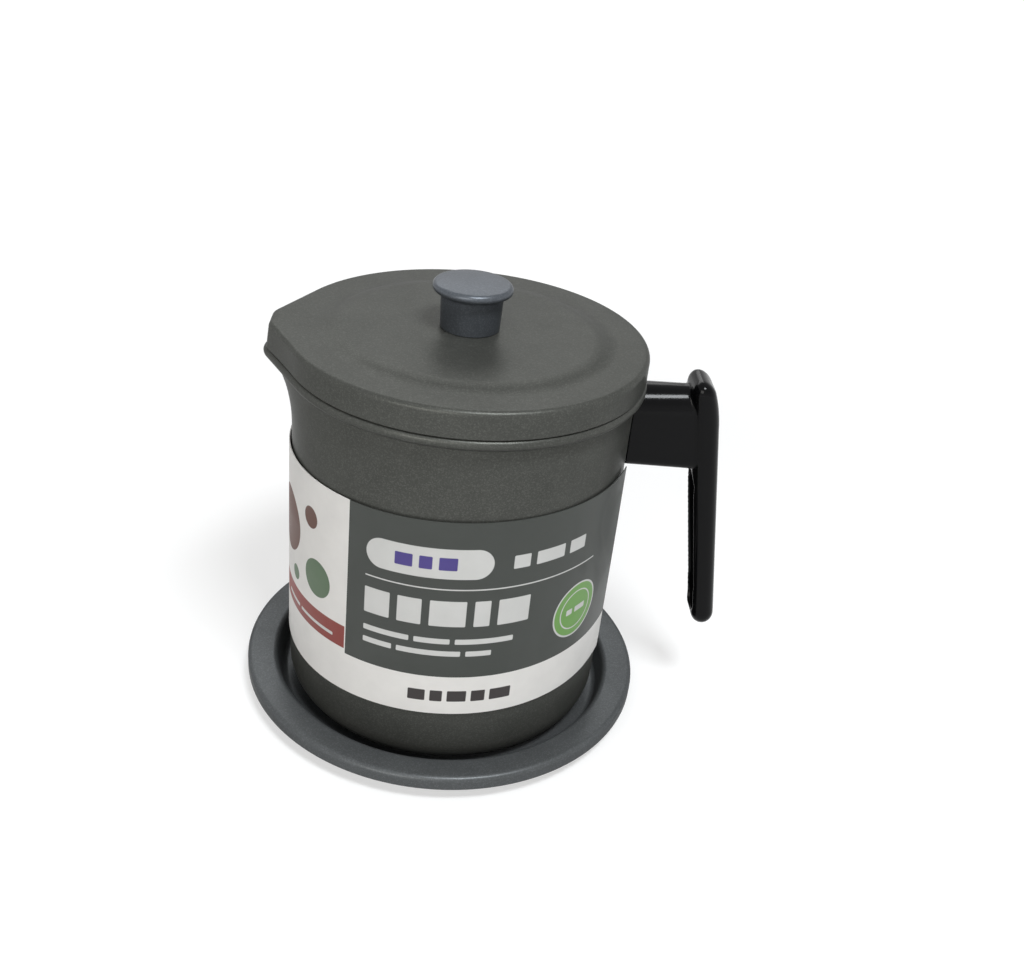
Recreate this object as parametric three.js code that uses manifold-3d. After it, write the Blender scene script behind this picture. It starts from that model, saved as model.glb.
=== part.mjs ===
// Grease pot: a coated steel pot with a pouring lip, a lift-out strainer, a lid and a drip saucer.
// Millimetres, +Z up. The origin is the middle of the saucer's underside. The lip points to -X, the handle to +X.
import * as THREE from "three";
import { mergeGeometries, mergeVertices } from "three/addons/utils/BufferGeometryUtils.js";
import Module from "manifold-3d";

const wasm = await Module();
wasm.setup();

// Sheet and clearances
const steelSheet = 0.6;
const saucerSheet = 0.8;
const seatGap = 0.3;
const fitGap = 0.1;
const cutOverrun = 1;

// Saucer
const saucerFloorMargin = 1.3;
const saucerStepRun = 3.5;
const saucerFlangeWidth = 11.7;
const saucerHeight = 11;
const saucerBend = 1.6;
const saucerDish = 0.5;
const saucerRimRadius = 2;
const saucerHemHeight = 5.2;

// Pot
const potRadius = 61.1;
const potHeight = 137.7;
const potCornerRadius = 11;
const rimRollRadius = 2;
const rimRollDegrees = 290;

// Pouring lip
const lipOut = 7;
const lipTipHalfWidth = 2.6;
const lipRounding = 2.4;
const lipDepth = 26;
const lipDip = 0.4;
const lipFlareShare = 1.7;
const lipCrowdingShare = 0.7;

// Paper sleeve
const sleevePaper = 0.3;
const sleeveHeight = 80;
const sleeveRise = 26.4;
const sleeveOpening = 36;
const sleeveTiltShare = 0.03;

// Strainer
const strainerClearance = 1;
const strainerDepth = 30;
const strainerCorner = 4;
const strainerLedge = 6.5;
const strainerCollarHeight = 3;
const strainerCollarGap = 0.5;
const netThickness = 0.8;
const netPitch = 8;
const netWire = 1.5;
const netMargin = 2;
const netRingWidth = 3.4;
const netRingThickness = 0.8;

// Lid
const lidOverhang = 2.9;
const lidSkirt = 9.6;
const lidEdgeRadius = 1.8;
const lidBorder = 13.5;
const lidStepRun = 4.5;
const lidCrown = 1.3;
const lidSeatRise = 0.4;
const lidSeatRadius = 13;
const hoodOut = 4.9;
const hoodTipHalfWidth = 5.6;
const hoodRounding = 1.4;
const hoodFlare = 1;

// Knob
const knobHeight = 16.9;
const knobDiscRadius = 14;
const knobDiscThickness = 3.8;
const knobRounding = 1.4;
const knobFillet = 2;
const knobDome = 0.8;
const knobFootRadius = 10.5;
const knobNeckRadius = 11;
const knobInsertRadius = 4;
const knobInsertLength = 11;

// Handle
const stubLength = 25.1;
const stubWidth = 18.2;
const stubHeight = 30;
const stubDrop = 4.4;
const stubCorner = 3;
const stubFlareShare = 0.045;
const gripRise = 4.7;
const gripLength = 106.4;
const gripThickness = 10.4;
const gripWidth = 18.8;
const gripEdge = 4.4;
const gripTaperShare = 0.14;
const gripLeanDegrees = 9.4;
const channelWall = 2.6;
const channelSkin = 3.4;
const channelEnd = 4.2;

// Handle bracket
const bracketSheet = 1.2;
const saddleWidth = 13;
const saddleHeight = 20;
const clampedWall = 11.9;
const tongueWidth = 11;
const tongueHeight = 16;

// Fasteners
const screwRadius = 2.4;
const screwHeadRadius = 4.4;
const screwHeadHeight = 2.6;
const screwRelief = 0.4;
const nutAcrossFlats = 8;
const nutThickness = 4;
const washerRadius = 4.6;
const washerThickness = 0.9;
const headRecess = 5.2;
const headClearance = 0.7;

// Facets
const turnSteps = 56;
const innerTurnSteps = 40;
const smallTurnSteps = 20;
const arcSteps = 4;
const bendSteps = 2;
const rollSteps = 7;

const saucerFloorRadius = potRadius + saucerFloorMargin;
const saucerWellRadius = saucerFloorRadius + saucerStepRun;
const saucerRadius = saucerWellRadius + saucerFlangeWidth;
const rimTop = potHeight;
const lipReach = potRadius + lipOut;
const lidRadius = potRadius + lidOverhang;
const lidStepRadius = lidRadius - lidBorder;
const hoodReach = lidRadius + hoodOut;
const lidPlane = rimTop + seatGap + lidSkirt;
const strainerSeat = rimTop + seatGap;
const stubTop = rimTop - stubDrop;
const stubMiddle = stubTop - stubHeight / 2;
const saddleRadius = potRadius + seatGap;
const stubGrowth = (stubHeight * stubFlareShare) / 2;
const gripReach = potRadius + stubLength;
const gripLean = THREE.MathUtils.degToRad(gripLeanDegrees);

const coat = { roughness: 0.45, metalness: 0.5 };
const materials = {
  coatedSteel: new THREE.MeshStandardMaterial({ color: 0x62635e, ...coat }),
  coatedSaucer: new THREE.MeshStandardMaterial({ color: 0x5d5f5c, ...coat }),
  knobCoat: new THREE.MeshStandardMaterial({ color: 0x6b6d70, roughness: 0.3, metalness: 0.5 }),
  phenolic: new THREE.MeshStandardMaterial({ color: 0x0d0d0e, roughness: 0.2, metalness: 0 }),
  paper: new THREE.MeshStandardMaterial({ color: 0xc9c9c6, roughness: 0.75, metalness: 0 }),
  stainless: new THREE.MeshStandardMaterial({ color: 0xb9bbbd, roughness: 0.3, metalness: 0.9 }),
  brass: new THREE.MeshStandardMaterial({ color: 0xb08d47, roughness: 0.35, metalness: 0.9 }),
};

// Points along an arc of a profile, in degrees from the +r direction towards +z.
function arc(centreR, centreZ, radius, fromDegrees, toDegrees, steps = arcSteps) {
  return Array.from({ length: steps + 1 }, (_, i) => {
    const angle = THREE.MathUtils.degToRad(fromDegrees + ((toDegrees - fromDegrees) * i) / steps);
    return new THREE.Vector2(centreR + radius * Math.cos(angle), centreZ + radius * Math.sin(angle));
  });
}

function at(r, z) {
  return new THREE.Vector2(r, z);
}

// A closed section of sheet metal: the drawn line, and the same line set off to the right of its course.
function sheetSection(line, thickness) {
  const back = line.map((point, i) => {
    const before = line[Math.max(i - 1, 0)];
    const after = line[Math.min(i + 1, line.length - 1)];
    const into = point.clone().sub(before).normalize();
    const out = after.clone().sub(point).normalize();
    const course = into.clone().add(out).normalize();
    const half = Math.max(course.dot(into.lengthSq() ? into : out), Number.EPSILON);
    return at(point.x + (course.y * thickness) / half, point.y - (course.x * thickness) / half);
  });
  return [...line, ...back.reverse()];
}

// A section turned about Z. One that starts and ends on the axis stays open there.
function revolve(section, steps = turnSteps) {
  const onAxis = section[0].x === 0 && section.at(-1).x === 0;
  const loop = onAxis ? section : [...section, section[0]];
  return new THREE.LatheGeometry(loop.toReversed(), steps).rotateX(Math.PI / 2);
}

// Plan radius of a round wall that leaves along two tangents for a blunt tip.
function tangentRadius(angle, radius, reach, tipHalfWidth) {
  const side = Math.abs(angle);
  const corner = Math.atan2(tipHalfWidth, reach);
  const tangent = corner + Math.acos(radius / Math.hypot(tipHalfWidth, reach));
  if (side >= tangent) return radius;
  if (side >= corner) return radius / Math.cos(tangent - side);
  return reach / Math.cos(side);
}

// How far the tip pushes the wall out at an angle, with the corners rounded over.
function tipPush(angle, radius, reach, tipHalfWidth, rounding) {
  const sway = rounding / reach;
  const spread = [-sway, -sway / 2, 0, sway / 2, sway];
  const total = spread.reduce((sum, offset) => {
    return sum + tangentRadius(angle + offset, radius, reach, tipHalfWidth);
  }, 0);
  return total / spread.length - radius;
}

// Moves each point of a turned sheet: facets crowd towards -X, then shape(r, z, angle) gives the new place.
function bendSheet(geometry, shape) {
  const places = geometry.getAttribute("position");
  const point = new THREE.Vector3();
  for (let i = 0; i < places.count; i += 1) {
    point.fromBufferAttribute(places, i);
    const even = Math.atan2(point.y, -point.x);
    const angle = even - lipCrowdingShare * Math.sin(even);
    const { r, z } = shape(Math.hypot(point.x, point.y), point.z, angle);
    places.setXYZ(i, -r * Math.cos(angle), r * Math.sin(angle), z);
  }
  geometry.computeVertexNormals();
  return geometry;
}

function toSolid(geometry) {
  const bare = geometry.index ? geometry.toNonIndexed() : geometry.clone();
  bare.deleteAttribute("normal");
  bare.deleteAttribute("uv");
  const merged = mergeVertices(bare, 1e-4);
  return new wasm.Manifold(
    new wasm.Mesh({
      numProp: 3,
      vertProperties: new Float32Array(merged.getAttribute("position").array),
      triVerts: new Uint32Array(merged.index.array),
    }),
  );
}

function toGeometry(solid) {
  const { vertProperties, triVerts } = solid.getMesh();
  const geometry = new THREE.BufferGeometry();
  geometry.setAttribute("position", new THREE.BufferAttribute(vertProperties, 3));
  geometry.setIndex(new THREE.BufferAttribute(triVerts, 1));
  geometry.computeVertexNormals();
  return geometry;
}

function join(first, ...rest) {
  return rest.reduce((solid, next) => solid.add(toSolid(next)), toSolid(first));
}

function cut(solid, ...cutters) {
  return cutters.reduce((left, cutter) => left.subtract(toSolid(cutter)), solid);
}

function boxBetween(low, high) {
  const size = high.map((value, i) => value - low[i]);
  const middle = high.map((value, i) => (value + low[i]) / 2);
  return new THREE.BoxGeometry(...size).translate(...middle);
}

function part(name, geometry, material) {
  const mesh = new THREE.Mesh(geometry, material.clone());
  mesh.name = name;
  return mesh;
}

// Saucer: one pressing with a flat floor, a step up to a near-flat flange and a turned-down rim.
function makeSaucer() {
  const flangeTop = saucerHeight - saucerDish;
  const rimCentre = saucerRadius - saucerRimRadius;
  const line = [
    at(0, saucerSheet),
    ...arc(saucerFloorRadius, saucerSheet + saucerBend, saucerBend, -90, -20, bendSteps),
    ...arc(saucerWellRadius + saucerBend, flangeTop - saucerBend, saucerBend, 160, 92, bendSteps),
    ...arc(rimCentre, saucerHeight - saucerRimRadius, saucerRimRadius, 90, 0),
    at(saucerRadius, saucerHeight - saucerHemHeight),
  ];
  return part("saucer", revolve(sheetSection(line, saucerSheet)), materials.coatedSaucer);
}

// Pot body: a drawn cup whose rim curls outward, with the pouring lip pinched out of its wall.
function makePotBody() {
  const inside = potRadius - steelSheet;
  const rollCentre = inside + rimRollRadius;
  const rollMiddle = rimTop - rimRollRadius;
  const lipStart = rimTop - lipDepth;
  const lipEnd = rimTop - 2 * rimRollRadius;
  const lipRows = [0, 0.28, 0.52, 0.76, 1].map((share) => at(inside, lipStart + share * (lipEnd - lipStart)));
  const line = [
    at(0, steelSheet),
    ...arc(potRadius - potCornerRadius, potCornerRadius, potCornerRadius - steelSheet, -90, 0),
    ...lipRows,
    ...arc(rollCentre, rollMiddle, rimRollRadius, 180, 180 - rimRollDegrees, rollSteps),
  ];
  const turned = revolve(sheetSection(line, steelSheet));
  const bent = bendSheet(turned, (r, z, angle) => {
    const climb = THREE.MathUtils.clamp((z - lipStart) / (lipEnd - lipStart), 0, 1);
    const flare = climb ** lipFlareShare;
    const push = tipPush(angle, potRadius, lipReach, lipTipHalfWidth, lipRounding);
    const dip = (lipDip * push) / (lipReach - potRadius);
    return { r: r + flare * push, z: z - flare * dip };
  });
  return part("pot_body", bent, materials.coatedSteel);
}

// Label sleeve: paper wrapped round the wall from one side of the handle to the other, hanging a little askew.
function makeSleeve() {
  const inside = potRadius + seatGap;
  const outside = inside + sleevePaper;
  const free = sleeveOpening / 2 / outside;
  const wrap = new THREE.Shape();
  wrap.absarc(0, 0, outside, free, 2 * Math.PI - free, false);
  wrap.absarc(0, 0, inside, 2 * Math.PI - free, free, true);
  const tube = new THREE.ExtrudeGeometry(wrap, {
    depth: sleeveHeight,
    bevelEnabled: false,
    curveSegments: turnSteps / 2,
  });
  tube.translate(0, 0, sleeveRise);
  tube.applyMatrix4(new THREE.Matrix4().makeShear(0, sleeveTiltShare, 0, 0, 0, 0));
  return part("label_sleeve", tube, materials.paper);
}

// Bracket: a curved saddle on the wall with a folded tongue, open below, whose end plate holds the nut.
function makeBracket() {
  const outside = saddleRadius + bracketSheet;
  const spread = saddleWidth / 2 / saddleRadius;
  const plan = new THREE.Shape();
  plan.absarc(0, 0, outside, -spread, spread, false);
  plan.absarc(0, 0, saddleRadius, spread, -spread, true);
  const saddle = new THREE.ExtrudeGeometry(plan, {
    depth: saddleHeight,
    bevelEnabled: false,
    curveSegments: arcSteps,
  });
  saddle.translate(0, 0, stubMiddle - saddleHeight / 2);
  const tongueTop = stubMiddle + tongueHeight / 2;
  const tongueEnd = headSeat() - clampedWall;
  const tongue = boxBetween(
    [saddleRadius + bracketSheet / 2, -tongueWidth / 2, stubMiddle - tongueHeight / 2],
    [tongueEnd, tongueWidth / 2, tongueTop],
  );
  const hollow = boxBetween(
    [outside, -tongueWidth / 2 + bracketSheet, stubMiddle - tongueHeight / 2 - cutOverrun],
    [tongueEnd - bracketSheet, tongueWidth / 2 - bracketSheet, tongueTop - bracketSheet],
  );
  const bore = screwRadius + screwRelief;
  const hole = alongX(new THREE.CylinderGeometry(bore, bore, stubHeight, smallTurnSteps));
  hole.translate(outside + fitGap + stubHeight / 2, 0, stubMiddle);
  return part("handle_bracket", toGeometry(cut(join(saddle, tongue), hollow, hole)), materials.stainless);
}

// Turns a cylinder's own axis, which three.js lays along Y, onto X.
function alongX(geometry) {
  return geometry.rotateZ(-Math.PI / 2);
}

// Outline with a half-round top and small corners below, as the stub is moulded.
function archShape(width, height, corner) {
  const half = width / 2;
  const shape = new THREE.Shape();
  shape.moveTo(-half + corner, 0);
  shape.lineTo(half - corner, 0);
  shape.absarc(half - corner, corner, corner, -Math.PI / 2, 0, false);
  shape.absarc(0, height - half, half, 0, Math.PI, false);
  shape.absarc(-half + corner, corner, corner, Math.PI, 1.5 * Math.PI, false);
  return shape;
}

// Outline with two half-round ends, standing on its lower end.
function slotShape(width, length) {
  const half = width / 2;
  const shape = new THREE.Shape();
  shape.absarc(0, length - half, half, 0, Math.PI, false);
  shape.absarc(0, half, half, Math.PI, 2 * Math.PI, false);
  return shape;
}

// Lets a bar that runs along Z from zero grow evenly in height, about its middle.
function flareOut(geometry, length, height, share) {
  const places = geometry.getAttribute("position");
  for (let i = 0; i < places.count; i += 1) {
    const growing = 1 + (share * places.getZ(i)) / length;
    places.setY(i, height / 2 + (places.getY(i) - height / 2) * growing);
  }
}

// Narrows a piece that hangs from zero evenly towards its foot.
function taperDown(geometry, length, share) {
  const places = geometry.getAttribute("position");
  for (let i = 0; i < places.count; i += 1) {
    const narrowing = 1 + (share * places.getZ(i)) / length;
    places.setXY(i, places.getX(i) * narrowing, places.getY(i) * narrowing);
  }
}

// Handle: one phenolic moulding, a stub that hides the bracket and a leaning grip whose inner face is a channel.
function makeHandle() {
  const stub = new THREE.ExtrudeGeometry(archShape(stubWidth, stubHeight, stubCorner), {
    depth: gripReach - potRadius,
    bevelEnabled: false,
    curveSegments: arcSteps,
  });
  const acrossX = new THREE.Matrix4().makeBasis(
    new THREE.Vector3(0, 1, 0),
    new THREE.Vector3(0, 0, 1),
    new THREE.Vector3(1, 0, 0),
  );
  flareOut(stub, stubLength, stubHeight, stubFlareShare);
  stub.applyMatrix4(acrossX).translate(potRadius, 0, stubTop - stubHeight);

  const grip = new THREE.ExtrudeGeometry(slotShape(gripThickness, gripLength), {
    depth: gripWidth - 2 * gripEdge,
    bevelThickness: gripEdge,
    bevelSize: gripEdge,
    bevelOffset: -gripEdge,
    bevelSegments: arcSteps,
    curveSegments: arcSteps + bendSteps,
  });
  grip.rotateX(Math.PI / 2).translate(0, gripWidth / 2 - gripEdge, -gripLength);

  const channelTop = gripRise + stubHeight + stubGrowth;
  const channelLength = gripLength - channelTop - channelEnd;
  const channel = new THREE.ExtrudeGeometry(slotShape(gripWidth - 2 * channelWall, channelLength), {
    depth: gripThickness - channelSkin + cutOverrun,
    bevelEnabled: false,
    curveSegments: arcSteps,
  });
  channel.applyMatrix4(acrossX);
  channel.translate(-gripThickness / 2 - cutOverrun, 0, -gripLength + channelEnd);

  for (const piece of [grip, channel]) {
    taperDown(piece, gripLength, gripTaperShare);
    piece.translate(0, 0, gripRise).rotateY(-gripLean).translate(gripReach, 0, stubTop);
  }

  const wall = new THREE.CylinderGeometry(saddleRadius, saddleRadius, 2 * stubHeight, turnSteps);
  wall.rotateX(Math.PI / 2).translate(0, 0, stubMiddle);
  const saddlePocket = pocketAround(saddleWidth, saddleHeight, saddleRadius + bracketSheet);
  const tonguePocket = pocketAround(tongueWidth, tongueHeight, headSeat() - clampedWall);
  const bore = screwRadius + screwRelief;
  const hole = alongX(new THREE.CylinderGeometry(bore, bore, gripReach - potRadius, smallTurnSteps));
  hole.translate((gripReach + potRadius) / 2 + headRecess, 0, stubMiddle);
  const recessRadius = screwHeadRadius + headClearance;
  const recess = alongX(new THREE.CylinderGeometry(recessRadius, recessRadius, gripThickness, smallTurnSteps));
  recess.translate(headSeat() + gripThickness / 2, 0, stubMiddle);
  const solid = cut(join(stub, grip), wall, channel, saddlePocket, tonguePocket, hole, recess);
  return part("handle_grip", toGeometry(solid), materials.phenolic);
}

// A pocket from the wall outwards that clears a bracket piece of this width and height up to its end.
function pocketAround(width, height, end) {
  return boxBetween(
    [0, -width / 2 - seatGap, stubMiddle - height / 2 - seatGap],
    [end + seatGap, width / 2 + seatGap, stubMiddle + height / 2 + seatGap],
  );
}

// Where the screw head's washer seats: sunk into the leaning outer face of the grip.
function headSeat() {
  const outerFace = gripReach + (stubHeight / 2) * Math.tan(gripLean) + gripThickness / 2 / Math.cos(gripLean);
  return outerFace - headRecess;
}

// A pan-head screw along +Z: head from zero up, shank from zero down.
function screwGeometry(length) {
  const crown = screwHeadHeight / 3;
  return revolve(
    [
      at(0, screwHeadHeight),
      at(screwHeadRadius - crown, screwHeadHeight),
      at(screwHeadRadius, screwHeadHeight - crown),
      at(screwHeadRadius, 0),
      at(screwRadius, 0),
      at(screwRadius, -length + screwRadius / 2),
      at(screwRadius / 2, -length),
      at(0, -length),
    ],
    smallTurnSteps,
  );
}

function washerGeometry() {
  return revolve(
    [
      at(screwRadius + screwRelief, washerThickness),
      at(washerRadius, washerThickness),
      at(washerRadius, 0),
      at(screwRadius + screwRelief, 0),
    ],
    smallTurnSteps,
  );
}

// Handle fasteners: a long screw from the grip's outer face into a hex nut behind the bracket's end plate.
function makeHandleFasteners() {
  const plate = headSeat() - clampedWall - bracketSheet;
  const nutFace = plate - nutThickness - fitGap;
  const seat = headSeat() + washerThickness + fitGap;
  const screw = screwGeometry(seat - nutFace + screwRadius).rotateY(Math.PI / 2);
  screw.translate(seat + fitGap, 0, stubMiddle);
  const washer = washerGeometry().rotateY(Math.PI / 2).translate(headSeat() + fitGap, 0, stubMiddle);

  const corner = nutAcrossFlats / 2 / Math.cos(Math.PI / 6);
  const hexagon = new THREE.Shape();
  for (let i = 0; i < 6; i += 1) {
    const angle = (i * Math.PI) / 3;
    const place = [corner * Math.cos(angle), corner * Math.sin(angle)];
    if (i === 0) hexagon.moveTo(...place);
    else hexagon.lineTo(...place);
  }
  const thread = new THREE.Path();
  thread.absarc(0, 0, screwRadius + fitGap, 0, 2 * Math.PI, true);
  hexagon.holes.push(thread);
  const nut = new THREE.ExtrudeGeometry(hexagon, {
    depth: nutThickness,
    bevelEnabled: false,
    curveSegments: smallTurnSteps / 2,
  });
  nut.rotateY(Math.PI / 2).translate(nutFace, 0, stubMiddle);
  return [
    part("handle_screw", screw, materials.stainless),
    part("handle_washer", washer, materials.stainless),
    part("handle_nut", nut, materials.stainless),
  ];
}

const strainerRadius = potRadius - steelSheet - strainerClearance;
const netOpening = strainerRadius - steelSheet - strainerLedge;

// Strainer cup: a drawn ring that hangs from the pot's rim, with a ledge below for the net and a collar above.
function makeStrainerCup() {
  const inside = strainerRadius - steelSheet;
  const shoulder = steelSheet + fitGap;
  const collar = lidRadius - steelSheet - strainerCollarGap - steelSheet;
  const line = [
    at(netOpening, -strainerDepth + steelSheet),
    ...arc(inside - strainerCorner, -strainerDepth + steelSheet + strainerCorner, strainerCorner, -90, 0),
    ...arc(inside + shoulder, steelSheet - shoulder, shoulder, 180, 90, bendSteps),
    at(collar, steelSheet),
    at(collar, strainerCollarHeight),
  ];
  const cup = revolve(sheetSection(line, steelSheet), innerTurnSteps);
  return part("strainer_cup", cup, materials.stainless);
}

// Strainer net: a flat net of square gaps, cut round, that lies on the cup's ledge.
function makeNet() {
  const radius = netOpening + netMargin;
  const disc = new THREE.CylinderGeometry(radius, radius, netThickness, innerTurnSteps).rotateX(Math.PI / 2);
  const gap = netPitch - netWire;
  const reach = Math.floor(netOpening / netPitch);
  const gaps = [];
  for (let column = -reach; column <= reach; column += 1) {
    for (let row = -reach; row <= reach; row += 1) {
      const x = column * netPitch;
      const y = row * netPitch;
      if (Math.hypot(Math.abs(x) + gap / 2, Math.abs(y) + gap / 2) > netOpening) continue;
      gaps.push(new THREE.BoxGeometry(gap, gap, netThickness + 2 * cutOverrun).translate(x, y, 0));
    }
  }
  const net = toGeometry(cut(toSolid(disc), mergeGeometries(gaps)));
  net.translate(0, 0, netFloor() + netThickness / 2);
  return part("strainer_net", net, materials.stainless);
}

function netFloor() {
  return -strainerDepth + steelSheet + fitGap;
}

// Net ring: a flat ring that clamps the net's edge down on the ledge.
function makeNetRing() {
  const outside = netOpening + netMargin + netRingWidth / 2;
  const floor = netFloor() + netThickness + fitGap;
  const section = [
    at(outside - netRingWidth, floor + netRingThickness),
    at(outside, floor + netRingThickness),
    at(outside, floor),
    at(outside - netRingWidth, floor),
  ];
  return part("net_ring", revolve(section, innerTurnSteps), materials.stainless);
}

// Lid: a pressing with a raised middle, a crisp rolled-over edge and a skirt, drawn out over the lip as a hood.
function makeLid() {
  const bore = screwRadius + screwRelief;
  const edge = lidRadius - lidEdgeRadius;
  const crownEdge = lidStepRadius - lidStepRun;
  const line = [
    at(bore, lidCrown + lidSeatRise),
    at(lidSeatRadius, lidCrown + lidSeatRise),
    at(lidSeatRadius + lidStepRun, lidCrown + lidSeatRise / 2),
    at(crownEdge, lidCrown),
    at(lidStepRadius - lidStepRun / 2, lidCrown / 2),
    at(lidStepRadius, 0),
    at((lidStepRadius + edge) / 2, 0),
    ...arc(edge, -lidEdgeRadius, lidEdgeRadius, 90, 0, 4),
    at(lidRadius, -lidSkirt),
  ];
  const turned = revolve(sheetSection(line, steelSheet));
  const bent = bendSheet(turned, (r, z, angle) => {
    const out = THREE.MathUtils.clamp((r - lidStepRadius) / (edge - lidStepRadius), 0, 1);
    const push = tipPush(angle, lidRadius, hoodReach, hoodTipHalfWidth, hoodRounding);
    const flare = (hoodFlare * push) / (hoodReach - lidRadius);
    const drop = THREE.MathUtils.clamp(-z / lidSkirt, 0, 1);
    return { r: r + out * (push + drop * flare), z };
  });
  return part("lid", bent, materials.coatedSteel);
}

// Knob: a wide stem under a domed disc, with a blind bore for its threaded insert.
function makeKnob() {
  const seat = lidCrown + lidSeatRise;
  const discTop = knobHeight - knobDome;
  const discFoot = knobHeight - knobDiscThickness;
  const rim = knobDiscRadius - knobRounding;
  const section = [
    at(0, knobInsertLength + fitGap),
    at(knobInsertRadius + fitGap, knobInsertLength + fitGap),
    at(knobInsertRadius + fitGap, 0),
    at(knobFootRadius, 0),
    ...arc(knobNeckRadius + knobFillet, discFoot - knobFillet, knobFillet, 180, 100, bendSteps),
    ...arc(rim, discFoot + knobRounding, knobRounding, -70, 0, bendSteps),
    ...arc(rim, discTop - knobRounding, knobRounding, 10, 80, bendSteps),
    at(rim / 2, knobHeight - knobDome / 3),
    at(0, knobHeight),
  ];
  const knob = revolve(section.toReversed(), innerTurnSteps).translate(0, 0, seat + fitGap);
  return part("lid_knob", knob, materials.knobCoat);
}

// Knob fasteners: a brass insert in the stem, and the screw and washer that hold it from inside the lid.
function makeKnobFasteners() {
  const seat = lidCrown + lidSeatRise + fitGap;
  const bore = screwRadius + fitGap;
  const insert = revolve(
    [
      at(bore, knobInsertLength - fitGap),
      at(knobInsertRadius, knobInsertLength - fitGap),
      at(knobInsertRadius, 0),
      at(bore, 0),
    ],
    smallTurnSteps,
  ).translate(0, 0, seat + fitGap);
  const underLid = seat - fitGap - steelSheet - fitGap - washerThickness;
  const washer = washerGeometry().translate(0, 0, underLid);
  const screw = screwGeometry(knobInsertLength - screwRadius).rotateX(Math.PI);
  screw.translate(0, 0, underLid - fitGap);
  return [
    part("knob_insert", insert, materials.brass),
    part("knob_washer", washer, materials.stainless),
    part("knob_screw", screw, materials.stainless),
  ];
}

const lid = new THREE.Group();
lid.add(makeLid(), makeKnob(), ...makeKnobFasteners());
lid.position.z = lidPlane - strainerSeat;

const strainer = new THREE.Group();
strainer.add(makeStrainerCup(), makeNet(), makeNetRing(), lid);
strainer.position.z = strainerSeat;

const pot = new THREE.Group();
pot.add(makePotBody(), makeSleeve(), makeBracket(), makeHandle(), ...makeHandleFasteners(), strainer);
pot.position.z = saucerSheet;

const greasePot = new THREE.Group();
greasePot.name = "grease_pot";
greasePot.add(makeSaucer(), pot);

export default greasePot;
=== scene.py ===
"""Dresses a coated steel grease pot: saucer, pot with lip and handle, strainer and hooded lid."""

import logging
import math
from collections.abc import Iterable, Sequence
from dataclasses import dataclass
from enum import Enum
from itertools import groupby
from typing import ClassVar

import bmesh
import bpy
from mathutils import Matrix, Vector


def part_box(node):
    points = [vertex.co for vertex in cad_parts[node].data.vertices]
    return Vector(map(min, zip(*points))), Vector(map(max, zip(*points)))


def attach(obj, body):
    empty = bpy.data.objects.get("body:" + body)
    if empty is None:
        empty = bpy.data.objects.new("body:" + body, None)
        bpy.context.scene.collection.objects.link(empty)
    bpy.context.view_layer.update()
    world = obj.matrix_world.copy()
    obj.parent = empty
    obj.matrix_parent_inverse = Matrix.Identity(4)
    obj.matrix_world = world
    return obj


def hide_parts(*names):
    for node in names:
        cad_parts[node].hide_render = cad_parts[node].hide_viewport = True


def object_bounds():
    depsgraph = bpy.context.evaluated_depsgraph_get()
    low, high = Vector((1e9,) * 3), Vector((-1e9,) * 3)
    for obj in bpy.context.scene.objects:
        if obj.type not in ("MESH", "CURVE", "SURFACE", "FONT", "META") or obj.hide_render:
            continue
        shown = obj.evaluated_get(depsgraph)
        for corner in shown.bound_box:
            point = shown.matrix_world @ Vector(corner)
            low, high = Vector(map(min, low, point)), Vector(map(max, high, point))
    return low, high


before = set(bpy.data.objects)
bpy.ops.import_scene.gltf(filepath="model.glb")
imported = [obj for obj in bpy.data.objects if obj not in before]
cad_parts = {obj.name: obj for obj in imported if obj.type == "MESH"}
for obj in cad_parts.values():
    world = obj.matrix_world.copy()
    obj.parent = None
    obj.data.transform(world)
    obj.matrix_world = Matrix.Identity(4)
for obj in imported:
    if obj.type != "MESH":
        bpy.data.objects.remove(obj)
cad_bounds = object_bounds()

Mesh = bmesh.types.BMesh
Material = bpy.types.Material
Piece = bpy.types.Object
Socket = bpy.types.NodeSocket
Colour = tuple[float, float, float, float]

LOG = logging.getLogger("grease_pot")
WELD_DISTANCE = 1e-7
UP = Vector((0, 0, 1))
WHITE: Colour = (1.0, 1.0, 1.0, 1.0)
# Rounds half a side, short of the point where its two curves would meet.
HALF_ROUND = 0.9999
SOFTENED_DEGREES = 50.0
SOFTENED_STEPS = 2


class Body(Enum):
    """The parts of the grease pot that can be lifted apart."""

    SAUCER = "saucer"
    POT = "pot"
    STRAINER = "strainer"
    LID = "lid"


class Slot(Enum):
    """The record's finishes."""

    COATED_STEEL = "coated_steel"
    COATED_SAUCER = "coated_saucer"
    KNOB_COAT = "knob_coat"
    PHENOLIC = "phenolic"
    PAPER = "paper"
    STAINLESS = "stainless"
    INSERT_BRASS = "insert_brass"


class Carving(Enum):
    """How one closed shape works on another."""

    CUT = "DIFFERENCE"
    JOIN = "UNION"


def srgb(*levels: int) -> Colour:
    """Turns a colour as seen on screen into a linear one.

    Args:
        levels: Red, green and blue, 0 to 255.

    Returns:
        Linear red, green and blue with full alpha.
    """
    shares = [level / 255 for level in levels]
    linear = [
        share / 12.92 if share <= 0.04045 else ((share + 0.055) / 1.055) ** 2.4 for share in shares
    ]
    return (*linear, 1.0)


def shade(colour: Colour, share: float) -> Colour:
    """Makes a colour darker or lighter by a share of its light."""
    return (*(level * share for level in colour[:3]), 1.0)


def ramp(value: float, start: float, end: float) -> float:
    """Gives how far a value has come from start to end, kept between 0 and 1."""
    return min(max((value - start) / (end - start), 0), 1)


# Shaping


@dataclass(frozen=True)
class Corner:
    """A corner of a profile in the plane of r and z.

    Attributes:
        r: Distance from the axis.
        z: Height.
        rounding: How far from the corner its curve starts, along both sides.
        segments: Steps of that curve.
    """

    r: float
    z: float
    rounding: float = 0.0
    segments: int = 8


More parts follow.
